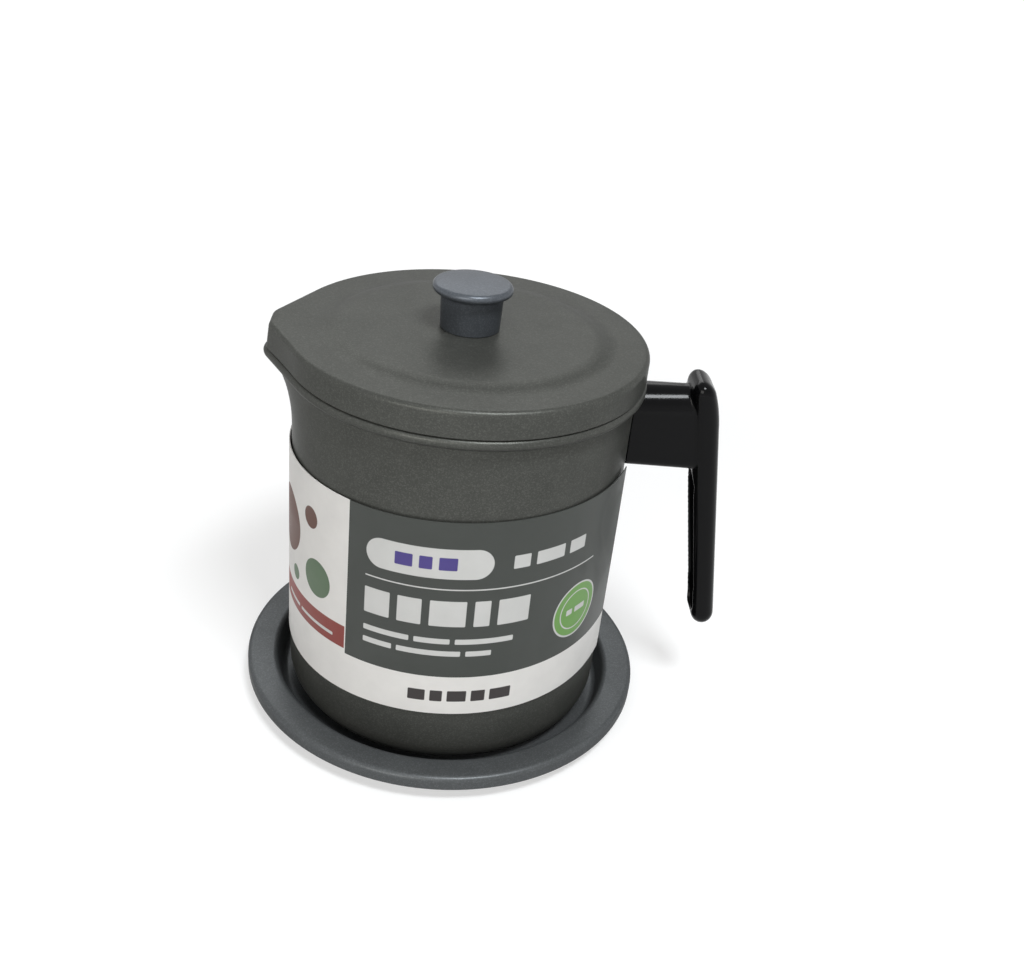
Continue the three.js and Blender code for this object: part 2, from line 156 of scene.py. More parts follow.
class Profile:
    """A line of few corners in the plane of r and z, rounded and turned with bmesh operators."""

    def __init__(self, *corners: Corner, closed: bool = False) -> None:
        """Draws the line through the corners.

        Args:
            corners: The corners in order.
            closed: Whether the last corner joins the first.
        """
        self.mesh = bmesh.new()
        spots = [self.mesh.verts.new((corner.r, 0, corner.z)) for corner in corners]
        for start, end in zip(spots, spots[1:]):
            self.mesh.edges.new((start, end))
        if closed:
            self.mesh.edges.new((spots[-1], spots[0]))
        for spot, corner in zip(spots, corners):
            if corner.rounding:
                bmesh.ops.bevel(
                    self.mesh,
                    geom=[spot],
                    offset=corner.rounding,
                    offset_type="OFFSET",
                    segments=corner.segments,
                    profile=0.5,
                    affect="VERTICES",
                    material=-1,
                )

    def roll(self, centre_r: float, centre_z: float, degrees: float, steps: int) -> "Profile":
        """Rolls the line on from its end nearest the centre, clockwise about that centre.

        Args:
            centre_r: Distance of the roll's centre from the axis.
            centre_z: Height of the roll's centre.
            degrees: Angle of the roll.
            steps: Steps of the roll.

        Returns:
            The profile itself.
        """
        centre = Vector((centre_r, 0, centre_z))
        ends = [spot for spot in self.mesh.verts if len(spot.link_edges) == 1]
        bmesh.ops.spin(
            self.mesh,
            geom=[min(ends, key=lambda spot: (spot.co - centre).length)],
            cent=centre,
            axis=(0, 1, 0),
            angle=math.radians(degrees),
            steps=steps,
        )
        return self

    def divide(self, longest: float) -> "Profile":
        """Divides the straight stretches into even steps.

        Args:
            longest: Length that no step exceeds.

        Returns:
            The profile itself.
        """
        for edge in list(self.mesh.edges):
            cuts = math.ceil(edge.calc_length() / longest) - 1
            if cuts > 0:
                bmesh.ops.subdivide_edges(self.mesh, edges=[edge], cuts=cuts)
        return self

    def turn(self, steps: int, start: float = 0.0, sweep: float = math.tau) -> Mesh:
        """Turns the line about the axis into a surface with its faces pointing out.

        Args:
            steps: Steps of the sweep.
            start: Angle from +X at which the sweep starts.
            sweep: Angle of the sweep.

        Returns:
            The turned surface.
        """
        if start:
            place(self.mesh, Matrix.Rotation(start, 4, "Z"))
        bmesh.ops.spin(
            self.mesh,
            geom=self.mesh.verts[:] + self.mesh.edges[:],
            cent=(0, 0, 0),
            axis=UP,
            angle=sweep,
            steps=steps,
            use_merge=sweep == math.tau,
        )
        bmesh.ops.remove_doubles(self.mesh, verts=self.mesh.verts[:], dist=WELD_DISTANCE)
        bmesh.ops.recalc_face_normals(self.mesh, faces=self.mesh.faces[:])
        return self.mesh


def rectangle(low: Sequence[float], high: Sequence[float], *curves: Sequence[float]) -> Profile:
    """Draws a closed rectangle.

    Args:
        low: Its corner with the least r and z.
        high: The corner opposite.
        curves: Rounding and steps of each corner in turn, from the low one along r.

    Returns:
        The rectangle's profile.
    """
    spots = (low, (high[0], low[1]), high, (low[0], high[1]))
    return Profile(*(Corner(*spot, *curve) for spot, curve in zip(spots, curves)), closed=True)


def place(mesh: Mesh, matrix: Matrix) -> Mesh:
    """Moves a whole mesh by a matrix and returns it."""
    bmesh.ops.transform(mesh, matrix=matrix, verts=mesh.verts[:])
    return mesh


def lift(mesh: Mesh, height: float) -> Mesh:
    """Moves a whole mesh up and returns it."""
    return place(mesh, Matrix.Translation((0, 0, height)))


def middle_face(mesh: Mesh) -> bmesh.types.BMFace:
    """Finds the face nearest the axis."""
    return min(mesh.faces, key=lambda face: face.calc_center_median().xy.length)


def thicken(mesh: Mesh, thickness: float, drawn_side: Vector = UP) -> Mesh:
    """Gives a turned sheet its thickness, away from the side that was drawn.

    Args:
        mesh: The open surface.
        thickness: Thickness of the sheet.
        drawn_side: Direction that the drawn surface faces at the face nearest the axis.

    Returns:
        The same mesh, closed.
    """
    if middle_face(mesh).normal.dot(drawn_side) < 0:
        bmesh.ops.reverse_faces(mesh, faces=mesh.faces[:])
    bmesh.ops.solidify(mesh, geom=mesh.faces[:], thickness=thickness)
    return mesh


def prism(outline: Profile, depth: float) -> Mesh:
    """Fills a closed outline and extrudes it along +Y.

    Args:
        outline: The closed outline in the plane of r and z.
        depth: Length of the prism.

    Returns:
        The closed prism.
    """
    mesh = outline.mesh
    filled = bmesh.ops.contextual_create(mesh, geom=mesh.edges[:])
    pushed = bmesh.ops.extrude_face_region(mesh, geom=filled["faces"], use_keep_orig=True)
    moved = [item for item in pushed["geom"] if isinstance(item, bmesh.types.BMVert)]
    bmesh.ops.translate(mesh, vec=(0, depth, 0), verts=moved)
    bmesh.ops.recalc_face_normals(mesh, faces=mesh.faces[:])
    return mesh


def cuboid(low: Sequence[float], high: Sequence[float]) -> Mesh:
    """Makes a box between two corners.

    Args:
        low: Its lowest corner.
        high: Its highest corner.

    Returns:
        The box.
    """
    mesh = bmesh.new()
    bmesh.ops.create_cube(mesh, size=1)
    middle = (Vector(high) + Vector(low)) / 2
    size = Matrix.Diagonal(Vector(high) - Vector(low)).to_4x4()
    return place(mesh, Matrix.Translation(middle) @ size)


def rod(radius: float, start: float, end: float, steps: int) -> Mesh:
    """Makes a round rod along Z.

    Args:
        radius: Its radius.
        start: Height of its foot.
        end: Height of its top.
        steps: Number of its sides.

    Returns:
        The rod.
    """
    mesh = bmesh.new()
    bmesh.ops.create_cone(
        mesh,
        cap_ends=True,
        segments=steps,
        radius1=radius,
        radius2=radius,
        depth=end - start,
    )
    return lift(mesh, (start + end) / 2)


def put_in(name: str, data: bpy.types.ID) -> Piece:
    """Puts new data into the scene as an object and returns the object."""
    item = bpy.data.objects.new(name, data)
    bpy.context.scene.collection.objects.link(item)
    return item


def lay_out(mesh: Mesh, name: str = "working_shape") -> Piece:
    """Puts a mesh into the scene as an object.

    Args:
        mesh: The mesh. It is freed.
        name: Name of the object.

    Returns:
        The object.
    """
    data = bpy.data.meshes.new(name)
    mesh.to_mesh(data)
    mesh.free()
    return put_in(name, data)


def take_up(shape: Piece, *others: Piece) -> Mesh:
    """Reads a shape with its modifiers applied, and clears it and the others away.

    Args:
        shape: The shape that is read.
        others: Shapes that its modifiers used.

    Returns:
        The mesh with its modifiers applied.
    """
    mesh = bmesh.new()
    mesh.from_object(shape, bpy.context.evaluated_depsgraph_get())
    for used in (shape, *others):
        data = used.data
        bpy.data.objects.remove(used)
        bpy.data.meshes.remove(data)
    bmesh.ops.remove_doubles(mesh, verts=mesh.verts[:], dist=WELD_DISTANCE)
    return mesh


def carve(base: Mesh, tool: Mesh, carving: Carving) -> Mesh:
    """Cuts or joins one closed mesh with another.

    Args:
        base: The shape that is kept.
        tool: The shape that cuts it or joins it. It is freed.
        carving: Whether the tool cuts or joins.

    Returns:
        The carved shape.
    """
    kept, cutter = lay_out(base), lay_out(tool)
    modifier = kept.modifiers.new("carving", "BOOLEAN")
    modifier.operation = carving.value
    modifier.object = cutter
    modifier.solver = "EXACT"
    return take_up(kept, cutter)


def mould_over(mesh: Mesh, grid: float, passes: int) -> Mesh:
    """Gives a closed shape an even skin and eases it, so that its edges look moulded.

    Args:
        mesh: The closed shape.
        grid: Size of the skin's facets.
        passes: How often the skin is eased.

    Returns:
        The eased shape.
    """
    shape = lay_out(mesh)
    modifier = shape.modifiers.new("even_skin", "REMESH")
    modifier.mode = "VOXEL"
    modifier.voxel_size = grid
    skin = take_up(shape)
    ways = {"use_axis_x": True, "use_axis_y": True, "use_axis_z": True}
    for _ in range(passes):
        bmesh.ops.smooth_vert(skin, verts=skin.verts[:], factor=0.5, **ways)
    bmesh.ops.recalc_face_normals(skin, faces=skin.faces[:])
    return skin


# Finishes


class Wiring:
    """Adds nodes to a tree, with their values and links given by socket name or number.

    Attributes:
        MIX_INPUTS: Numbers of a colour mix's share and colours.
        MIX_OUTPUT: Number of its mixed colour.
    """

    MIX_INPUTS = (0, 6, 7)
    MIX_OUTPUT = 2

    def __init__(self, tree: bpy.types.NodeTree) -> None:
        """Starts on a tree."""
        self.tree = tree

    def feed(self, node: bpy.types.Node, sockets: dict) -> bpy.types.Node:
        """Gives a node its inputs.

        Args:
            node: The node.
            sockets: Value, or output socket to link, for each input.

        Returns:
            The same node.
        """
        for name, value in sockets.items():
            if isinstance(value, Socket):
                self.tree.links.new(value, node.inputs[name])
            else:
                node.inputs[name].default_value = value
        return node

    def add(self, kind: str, sockets: dict | None = None, **settings: object) -> bpy.types.Node:
        """Adds one node.

        Args:
            kind: The node's class without its leading "ShaderNode".
            sockets: Value, or output socket to link, for each input.
            settings: Properties of the node.

        Returns:
            The new node.
        """
        node = self.tree.nodes.new("ShaderNode" + kind)
        for name, value in settings.items():
            setattr(node, name, value)
        return self.feed(node, sockets or {})

    def effect(self, group: bpy.types.NodeTree, sockets: dict) -> dict[str, Socket]:
        """Places a shared effect with its own values and returns its outputs."""
        return self.add("Group", sockets, node_tree=group).outputs

    def math(self, operation: str, *values: object) -> Socket:
        """Adds a Math node and returns its output."""
        return self.add("Math", dict(enumerate(values)), operation=operation).outputs[0]

    def vector(self, operation: str, *values: object, output: str = "Vector") -> Socket:
        """Adds a Vector Math node and returns the named output."""
        return self.add("VectorMath", dict(enumerate(values)), operation=operation).outputs[output]

    def plus(self, base: object, value: object, share: float) -> Socket:
        """Adds a share of one number to another and returns the output."""
        return self.math("ADD", base, self.math("MULTIPLY", value, share))

    def noise(self, where: Socket, scale: object, detail: float = 2.0, **shape: float) -> Socket:
        """Adds a noise in space, or along a line where its place is one number.

        Args:
            where: Its place.
            scale: Its scale.
            detail: Its detail.
            shape: Values for the inputs Roughness and Distortion.

        Returns:
            The noise, about 0 to 1.
        """
        socket, dimensions = ("W", "1D") if where.type == "VALUE" else ("Vector", "3D")
        sockets = {socket: where, "Scale": scale, "Detail": detail, **shape}
        return self.add("TexNoise", sockets, noise_dimensions=dimensions).outputs["Fac"]

    def remap(
        self, value: object, new: Sequence, old: Sequence = (0.0, 1.0), smooth: bool = False
    ) -> Socket:
        """Maps one range of numbers onto another.

        Args:
            value: The number.
            new: Ends of the new range.
            old: Ends of its own range.
            smooth: Whether the ends are eased.

        Returns:
            The mapped number, kept within the new range.
        """
        names = ("Value", "From Min", "From Max", "To Min", "To Max")
        easing = "SMOOTHSTEP" if smooth else "LINEAR"
        sockets = dict(zip(names, (value, *old, *new)))
        return self.add("MapRange", sockets, interpolation_type=easing).outputs["Result"]

    def blend(self, share: object, first: object, second: object) -> Socket:
        """Mixes two colours and returns the output."""
        sockets = dict(zip(self.MIX_INPUTS, (share, first, second)))
        return self.add("Mix", sockets, data_type="RGBA").outputs[self.MIX_OUTPUT]


class Effects:
    """The effects that several finishes share, each built once as a node group."""

    MOTTLE_DETAIL, MOTTLE_ROUGHNESS = 4.0, 0.6
    SMUDGE_DETAIL, SMUDGE_DISTORTION = 3.0, 1.2
    SMUDGE_ENDS = (0.42, 0.7)
    HAIRLINE_TURN = (0.5, 0.3, 0.9)
    HAIRLINE_STRETCH = (1, 1, 0.04)
    HAIRLINE_DETAIL = 1.0
    HAIRLINE_ENDS = (0.68, 0.74)
    INK_EDGE = (0.00008, -0.00008)

    def __init__(self) -> None:
        """Builds every group."""
        self.grain = self.make_grain()
        self.handling = self.make_handling()
        self.printed_block = self.make_printed_block()

    @staticmethod
    def start(
        name: str, vectors: Sequence[str], numbers: Sequence[str]
    ) -> tuple[Wiring, dict[str, Socket]]:
        """Starts a group.

        Args:
            name: Name of the group.
            vectors: Its inputs that are vectors.
            numbers: Its inputs that are numbers.

        Returns:
            The wiring on the group and what it is given.
        """
        group = bpy.data.node_groups.new(name, "ShaderNodeTree")
        for kind, inputs in (("NodeSocketVector", vectors), ("NodeSocketFloat", numbers)):
            for given in inputs:
                group.interface.new_socket(name=given, in_out="INPUT", socket_type=kind)
        return Wiring(group), group.nodes.new("NodeGroupInput").outputs

    @staticmethod
    def close(wiring: Wiring, results: dict[str, Socket]) -> bpy.types.NodeTree:
        """Gives a group its outputs.

        Args:
            wiring: The wiring on the group.
            results: What each output puts out, a number from 0 to 1.

        Returns:
            The group.
        """
        for name in results:
            wiring.tree.interface.new_socket(
                name=name, in_out="OUTPUT", socket_type="NodeSocketFloat"
            )
        wiring.feed(wiring.tree.nodes.new("NodeGroupOutput"), results)
        return wiring.tree

    def make_grain(self) -> bpy.types.NodeTree:
        """Makes fine flecks over a soft mottle, as in a sprayed coat or a moulding.

        Returns:
            The group, with a fleck, a mottle and a height.
        """
        scales = ("Fleck Scale", "Mottle Scale")
        wiring, given = self.start("coat_grain", ("Vector",), scales)
        here, fleck_scale = given["Vector"], given["Fleck Scale"]
        cells = wiring.add("TexVoronoi", {"Vector": here, "Scale": fleck_scale})
        fleck = wiring.add("SeparateColor", {"Color": cells.outputs["Color"]}).outputs["Red"]
        shape = {"detail": self.MOTTLE_DETAIL, "Roughness": self.MOTTLE_ROUGHNESS}
        mottle = wiring.noise(here, given["Mottle Scale"], **shape)
        height = wiring.noise(here, fleck_scale)
        return self.close(wiring, {"Fleck": fleck, "Mottle": mottle, "Height": height})

    def make_handling(self) -> bpy.types.NodeTree:
        """Makes the faint smudges and hairlines that handling leaves on a smooth surface.

        Returns:
            The group, with a smudge and a hairline.
        """
        scales = ("Smudge Scale", "Hairline Scale")
        wiring, given = self.start("handling_marks", ("Vector",), scales)
        here = given["Vector"]
        shape = {"detail": self.SMUDGE_DETAIL, "Distortion": self.SMUDGE_DISTORTION}
        smudge = wiring.noise(here, given["Smudge Scale"], **shape)
        stretch = {"Rotation": self.HAIRLINE_TURN, "Scale": self.HAIRLINE_STRETCH}
        stretched = wiring.add("Mapping", {"Vector": here, **stretch}).outputs["Vector"]
        hair = wiring.noise(stretched, given["Hairline Scale"], self.HAIRLINE_DETAIL)
        results = {
            "Smudge": wiring.remap(smudge, (0.0, 1.0), self.SMUDGE_ENDS, smooth=True),
            "Hairline": wiring.remap(hair, (0.0, 1.0), self.HAIRLINE_ENDS),
        }
        return self.close(wiring, results)

    def make_printed_block(self) -> bpy.types.NodeTree:
        """Makes the mask of one printed block with rounded corners, on a map in metres.

        Returns:
            The group, with the mask.
        """
        names = ("Vector", "Centre", "Inner Half Size")
        wiring, given = self.start("printed_block", names, ("Rounding",))
        offset = wiring.vector("SUBTRACT", given["Vector"], given["Centre"])
        aside = wiring.vector("ABSOLUTE", offset)
        past = wiring.vector("SUBTRACT", aside, given["Inner Half Size"])
        outside = wiring.vector("MAXIMUM", past, (0, 0, 0))
        distance = wiring.vector("LENGTH", outside, output="Value")
        edge = wiring.math("SUBTRACT", distance, given["Rounding"])
        return self.close(wiring, {"Mask": wiring.remap(edge, (0.0, 1.0), self.INK_EDGE)})


class Surface(Wiring):
    """A material in the making, with the shared effects at hand."""

    def __init__(self, name: str, effects: Effects) -> None:
        """Starts a material with a plain Principled BSDF.

        Args:
            name: Name of the material.
            effects: The shared effects.
        """
        self.material = bpy.data.materials.new(name)
        self.material.use_nodes = True
        super().__init__(self.material.node_tree)
        self.effects = effects
        self.here = self.add("TexCoord").outputs["Object"]

    def grain(self, fleck_scale: float, mottle_scale: float) -> dict[str, Socket]:
        """Places the shared grain and returns its outputs."""
        scales = {"Fleck Scale": fleck_scale, "Mottle Scale": mottle_scale}
        return self.effect(self.effects.grain, {"Vector": self.here, **scales})

    def marks(self, smudge_scale: float, hairline_scale: float = 0.0) -> dict[str, Socket]:
        """Places the shared marks of handling and returns their outputs."""
        scales = {"Smudge Scale": smudge_scale, "Hairline Scale": hairline_scale}
        return self.effect(self.effects.handling, {"Vector": self.here, **scales})

    def relief(self, height: Socket, depth: float, strength: float) -> Socket:
        """Turns a height into a normal and returns the output."""
        sockets = {"Strength": strength, "Distance": depth, "Height": height}
        return self.add("Bump", sockets).outputs["Normal"]

    def finish(self, inputs: dict[str, object]) -> Material:
        """Gives the shader its inputs and returns the material."""
        self.feed(self.tree.nodes["Principled BSDF"], inputs)
        return self.material


@dataclass(frozen=True)
class CoatFinish:
    """A satin non-stick coat, sprayed on steel, with fine flecks.

    Scales count to the metre, and depths are in metres. A sheen level of a half is usual.
    """

    name: str
    tint: Colour
    glint: Colour
    roughness: float = 0.36
    unevenness: float = 0.05
    smudge: float = 0.05
    metallic: float = 0.4
    sheen_level: float = 0.12
    edge_sheen: float = 0.3
    fleck_scale: float = 2600.0
    fleck_fall: float = 3.0
    fleck_share: float = 0.4
    mottle_scale: float = 60.0
    mottle_share: float = 0.35
    smudge_scale: float = 22.0
    bump: float = 0.00002
    bump_strength: float = 0.5

    def material(self, effects: Effects) -> Material:
        """Builds the material.

        Args:
            effects: The shared effects.

        Returns:
            The material.
        """
        surface = Surface(self.name, effects)
        grain = surface.grain(self.fleck_scale, self.mottle_scale)
        few = surface.math("POWER", grain["Fleck"], self.fleck_fall)
        flecks = surface.math("MULTIPLY", few, self.fleck_share)
        share = surface.plus(flecks, grain["Mottle"], self.mottle_share)
        ends = (self.roughness - self.unevenness, self.roughness + self.unevenness)
        rough = surface.remap(grain["Mottle"], ends)
        smudges = surface.marks(self.smudge_scale)["Smudge"]
        inputs = {
            "Base Color": surface.blend(share, self.tint, self.glint),
            "Roughness": surface.plus(rough, smudges, self.smudge),
            "Normal": surface.relief(grain["Height"], self.bump, self.bump_strength),
            "Metallic": self.metallic,
            "Specular IOR Level": self.sheen_level,
            "Specular Tint": shade(WHITE, self.edge_sheen),
        }
        return surface.finish(inputs)


@dataclass(frozen=True)
class MouldedFinish:
    """Black phenolic with a polished skin from the mould."""

    name: str
    tint: Colour
    lightening: float = 1.6
    mottle_scale: float = 150.0
    roughness: float = 0.14
    smudge: float = 0.07
    hairline: float = 0.05
    smudge_scale: float = 45.0
    hairline_scale: float = 1400.0
    ior: float = 1.58
    sheen_level: float = 0.1
    ripple_scale: float = 700.0
    ripple: float = 0.000015
    ripple_strength: float = 0.4

    def material(self, effects: Effects) -> Material:
        """Builds the material.

        Args:
            effects: The shared effects.

        Returns:
            The material.
        """
        surface = Surface(self.name, effects)
        marks = surface.marks(self.smudge_scale, self.hairline_scale)
        grain = surface.grain(self.ripple_scale, self.mottle_scale)
        rough = surface.remap(marks["Smudge"], (self.roughness, self.roughness + self.smudge))
        lighter = shade(self.tint, self.lightening)
        inputs = {
            "Base Color": surface.blend(grain["Mottle"], self.tint, lighter),
            "Roughness": surface.plus(rough, marks["Hairline"], self.hairline),
            "Normal": surface.relief(grain["Height"], self.ripple, self.ripple_strength),
            "IOR": self.ior,
            "Specular IOR Level": self.sheen_level,
        }
        return surface.finish(inputs)


@dataclass(frozen=True)
class TurnedSteelFinish:
    """Bright steel or brass with the fine rings that pressing and turning leave."""

    name: str
    tint: Colour
    darkening: float = 0.88
    roughness: float = 0.34
    smoother: float = 0.05
    rougher: float = 0.08
    smudge: float = 0.06
    smudge_scale: float = 60.0
    line_scale: float = 1100.0
    band_scale: float = 160.0

    def material(self, effects: Effects) -> Material:
        """Builds the material.

        Args:
            effects: The shared effects.

        Returns:
            The material.
        """
        surface = Surface(self.name, effects)
        flat = surface.vector("MULTIPLY", surface.here, (1, 1, 0))
        radius = surface.vector("LENGTH", flat, output="Value")
        height = surface.add("SeparateXYZ", {"Vector": surface.here}).outputs["Z"]
        along = surface.math("SUBTRACT", radius, height)
        lines = surface.noise(along, self.line_scale, 1.0)
        bands = surface.noise(along, self.band_scale)
        ends = (self.roughness - self.smoother, self.roughness + self.rougher)
        rough = surface.remap(bands, ends)
        smudges = surface.marks(self.smudge_scale)["Smudge"]
        inputs = {
            "Base Color": surface.blend(lines, self.tint, shade(self.tint, self.darkening)),
            "Roughness": surface.plus(rough, smudges, self.smudge),
            "Metallic": 1.0,
        }
        return surface.finish(inputs)


class Ink(Enum):
    """The inks on the paper sleeve."""

    BROWN = srgb(96, 66, 56)
    BRICK = srgb(136, 66, 60)
    MOSS = srgb(92, 112, 88)
    LEAF = srgb(112, 158, 84)
    PALE = srgb(206, 206, 204)
    VIOLET = srgb(78, 68, 132)
    CHARCOAL = srgb(58, 54, 54)


@dataclass(frozen=True)
class Block:
    """One printed block on the sleeve.

    Its start is measured along the paper from the line under the lip, its foot from the sleeve's.
    """

    ink: Ink
    start: float
    foot: float
    width: float
    height: float
    rounding: float = 0.0004

    def sockets(self, sheet: Socket) -> dict[str, object]:
        """Gives what the shared effect needs to print the block.

        Args:
            sheet: The paper's map in metres.

        Returns:
            The effect's inputs.
        """
        half = Vector((self.width / 2, self.height / 2, 0))
        return {
            "Vector": sheet,
            "Centre": Vector((self.start, self.foot, 0)) + half,
            "Inner Half Size": half - Vector((self.rounding, self.rounding, 0)),
            "Rounding": self.rounding,
        }


def disc(ink: Ink, middle: float, height: float, radius: float) -> Block:
    """Makes a round printed dot."""
    return Block(ink, middle - radius, height - radius, 2 * radius, 2 * radius, radius)


def row(
    ink: Ink, start: float, foot: float, height: float, widths: Iterable[float], gap: float
) -> list[Block]:
    """Sets blocks side by side.

    Args:
        ink: Their ink.
        start: Where the first one starts.
        foot: Their lower edge.
        height: Their height.
        widths: The width of each block.
        gap: The gap between two blocks.

    Returns:
        The blocks.
    """
    blocks = []
    for width in widths:
        blocks.append(Block(ink, start, foot, width, height))
        start += width + gap
    return blocks


@dataclass(frozen=True)
class PaperFinish:
    """Printed paper: a dark field over a pale band, a pale panel with dots, and plain blocks."""

    name: str
    paper: Colour = srgb(229, 227, 224)
    field: Colour = srgb(66, 69, 66)
    band_height: float = 0.0166
    panel_start: float = -0.013
    panel_end: float = 0.0587
    ageing: tuple[float, float] = (0.9, 1.06)
    mottle_scale: float = 90.0
    roughness: float = 0.42
    smudge: float = 0.12
    smudge_scale: float = 30.0
    sheen_level: float = 0.3
    fibre_scale: float = 1800.0
    fibre: float = 0.00002
    fibre_strength: float = 0.4

    def blocks(self) -> list[Block]:
        """Lays out the plain blocks and dots.

        Returns:
            Every block, each over the ones before.
        """
        left = self.panel_end + 0.0075
        badge = left + 0.0815
        foot_widths = (0.0062, 0.0044, 0.0068, 0.005, 0.0078)
        return [
            Block(Ink.BRICK, 0.012, 0.0185, 0.0462, 0.0095, 0.0001),
            disc(Ink.BROWN, 0.018, 0.053, 0.0125),
            disc(Ink.BROWN, 0.0385, 0.064, 0.0042),
            disc(Ink.MOSS, 0.043, 0.041, 0.0075),
            disc(Ink.MOSS, 0.027, 0.0345, 0.003),
            Block(Ink.PALE, left, 0.058, 0.044, 0.0118, 0.0059),
            *row(Ink.PALE, left + 0.051, 0.061, 0.0052, (0.006, 0.0115, 0.0075), 0.0025),
            Block(Ink.PALE, left, 0.0535, 0.088, 0.0005, 0.0001),
            *row(Ink.PALE, left, 0.0385, 0.0105, (0.0095, 0.0085, 0.0125, 0.0055, 0.0115), 0.0028),
            *row(Ink.PALE, left, 0.031, 0.0022, (0.017, 0.0125, 0.0205), 0.0018),
            *row(Ink.PALE, left, 0.0258, 0.0022, (0.011, 0.0225, 0.009), 0.0018),
            *row(Ink.PALE, 0.019, 0.0215, 0.0013, (0.012, 0.02), 0.0016),
            disc(Ink.PALE, badge, 0.034, 0.0115),
            disc(Ink.LEAF, badge, 0.034, 0.0108),
            disc(Ink.PALE, badge, 0.034, 0.0082),
            disc(Ink.LEAF, badge, 0.034, 0.0077),
            *row(Ink.PALE, badge - 0.005, 0.0328, 0.0024, (0.003, 0.0056), 0.0014),
            *row(Ink.VIOLET, left + 0.0105, 0.0614, 0.005, (0.0062, 0.0045, 0.0062), 0.0022),
            *row(Ink.CHARCOAL, left + 0.018, 0.0056, 0.0048, foot_widths, 0.0017),
        ]

    def material(self, effects: Effects) -> Material:
        """Builds the material.

        Args:
            effects: The shared effects.

        Returns:
            The material.
        """
        surface = Surface(self.name, effects)
        grain = surface.grain(self.fibre_scale, self.mottle_scale)
        colour, aged = self.printed(surface), surface.remap(grain["Mottle"], self.ageing)
        tone = surface.add("VectorMath", {0: colour, "Scale": aged}, operation="SCALE")
        smudges = surface.marks(self.smudge_scale)["Smudge"]
        inputs = {
            "Base Color": tone.outputs["Vector"],
            "Roughness": surface.remap(smudges, (self.roughness, self.roughness + self.smudge)),
            "Normal": surface.relief(grain["Height"], self.fibre, self.fibre_strength),
            "Specular IOR Level": self.sheen_level,
        }
        return surface.finish(inputs)

    def printed(self, surface: Surface) -> Socket:
        """Prints the dark field and every block on the paper.

        Args:
            surface: The material in the making.

        Returns:
            The printed colour.
        """
        sheet = surface.add("UVMap", uv_map="paper_map").outputs["UV"]
        along, up, _ = surface.add("SeparateXYZ", {"Vector": sheet}).outputs
        left_of_panel = surface.math("LESS_THAN", along, self.panel_start)
        right_of_panel = surface.math("GREATER_THAN", along, self.panel_end)
        beside_panel = surface.math("MAXIMUM", left_of_panel, right_of_panel)
        above_band = surface.math("GREATER_THAN", up, self.band_height)
        field = surface.math("MULTIPLY", above_band, beside_panel)
        colour = surface.blend(field, self.paper, self.field)
        for ink, blocks in groupby(self.blocks(), key=lambda block: block.ink):
            together = None
            for block in blocks:
                mask = surface.effect(surface.effects.printed_block, block.sockets(sheet))["Mask"]
                together = surface.math("MAXIMUM", together, mask) if together else mask
            colour = surface.blend(together, colour, ink.value)
        return colour


def build_palette() -> dict[Slot, Material]:
    """Builds the shared effects and every material once.

    Returns:
        The material for each of the record's finishes.
    """
    finishes = {
        Slot.COATED_STEEL: CoatFinish("pot_coat", srgb(67, 68, 65), srgb(100, 101, 97)),
        Slot.COATED_SAUCER: CoatFinish(
            "saucer_coat", srgb(78, 80, 81), srgb(109, 112, 114), sheen_level=0.05
        ),
        Slot.KNOB_COAT: CoatFinish(
            "knob_coat",
            srgb(80, 84, 89),
            srgb(111, 116, 123),
            roughness=0.33,
            metallic=0.5,
            sheen_level=0.15,
            edge_sheen=0.6,
        ),
        Slot.PHENOLIC: MouldedFinish("black_phenolic", srgb(6, 6, 7)),
        Slot.PAPER: PaperFinish("printed_paper"),
        Slot.STAINLESS: TurnedSteelFinish("pressed_steel", srgb(185, 187, 189)),
        Slot.INSERT_BRASS: TurnedSteelFinish("turned_brass", srgb(190, 158, 92)),
    }
    effects = Effects()
    return {slot: finish.material(effects) for slot, finish in finishes.items()}


# The pieces


@dataclass(frozen=True)
class PinchedTip:
    """A round wall drawn out along two tangents to a blunt tip at -X.

    Its rounding averages over a stretch of the wall, at some samples.
    """

    radius: float
    out: float
    tip_half_width: float
    rounding: float
    samples: int = 9

    @property
    def reach(self) -> float:
        """Gives the distance of the tip from the axis."""
        return self.radius + self.out

    def wall(self, angle: float) -> float:
        """Gives the wall's distance from the axis before rounding.

        Args:
            angle: Angle from -X.

        Returns:
            The distance.
        """
        side = abs(angle)
        corner = math.atan2(self.tip_half_width, self.reach)
        tangent = corner + math.acos(self.radius / math.hypot(self.tip_half_width, self.reach))
        if side >= tangent:
            return self.radius
        if side >= corner:
            return self.radius / math.cos(tangent - side)
        return self.reach / math.cos(side)

    def push(self, where: Vector) -> float:
        """Gives how far the rounded wall stands out of its circle.

        Args:
            where: A point that looks from the axis towards the wall.

        Returns:
            The distance outward.
        """
        angle = math.atan2(where.y, -where.x)
        sway = self.rounding / self.reach
        angles = [angle + sway * (2 * i / (self.samples - 1) - 1) for i in range(self.samples)]
        return sum(self.wall(near) for near in angles) / self.samples - self.radius


def crowd(mesh: Mesh, crowding: float) -> None:
    """Crowds the facets of a turned surface towards -X, where the tip needs them.

    Args:
        mesh: The turned surface.
        crowding: Share by which the facets at -X are narrowed.
    """
    for vert in mesh.verts:
        radius = vert.co.xy.length
        if radius > WELD_DISTANCE:
            even = math.atan2(vert.co.y, -vert.co.x)
            angle = even - crowding * math.sin(even)
            vert.co.x = -radius * math.cos(angle)
            vert.co.y = radius * math.sin(angle)


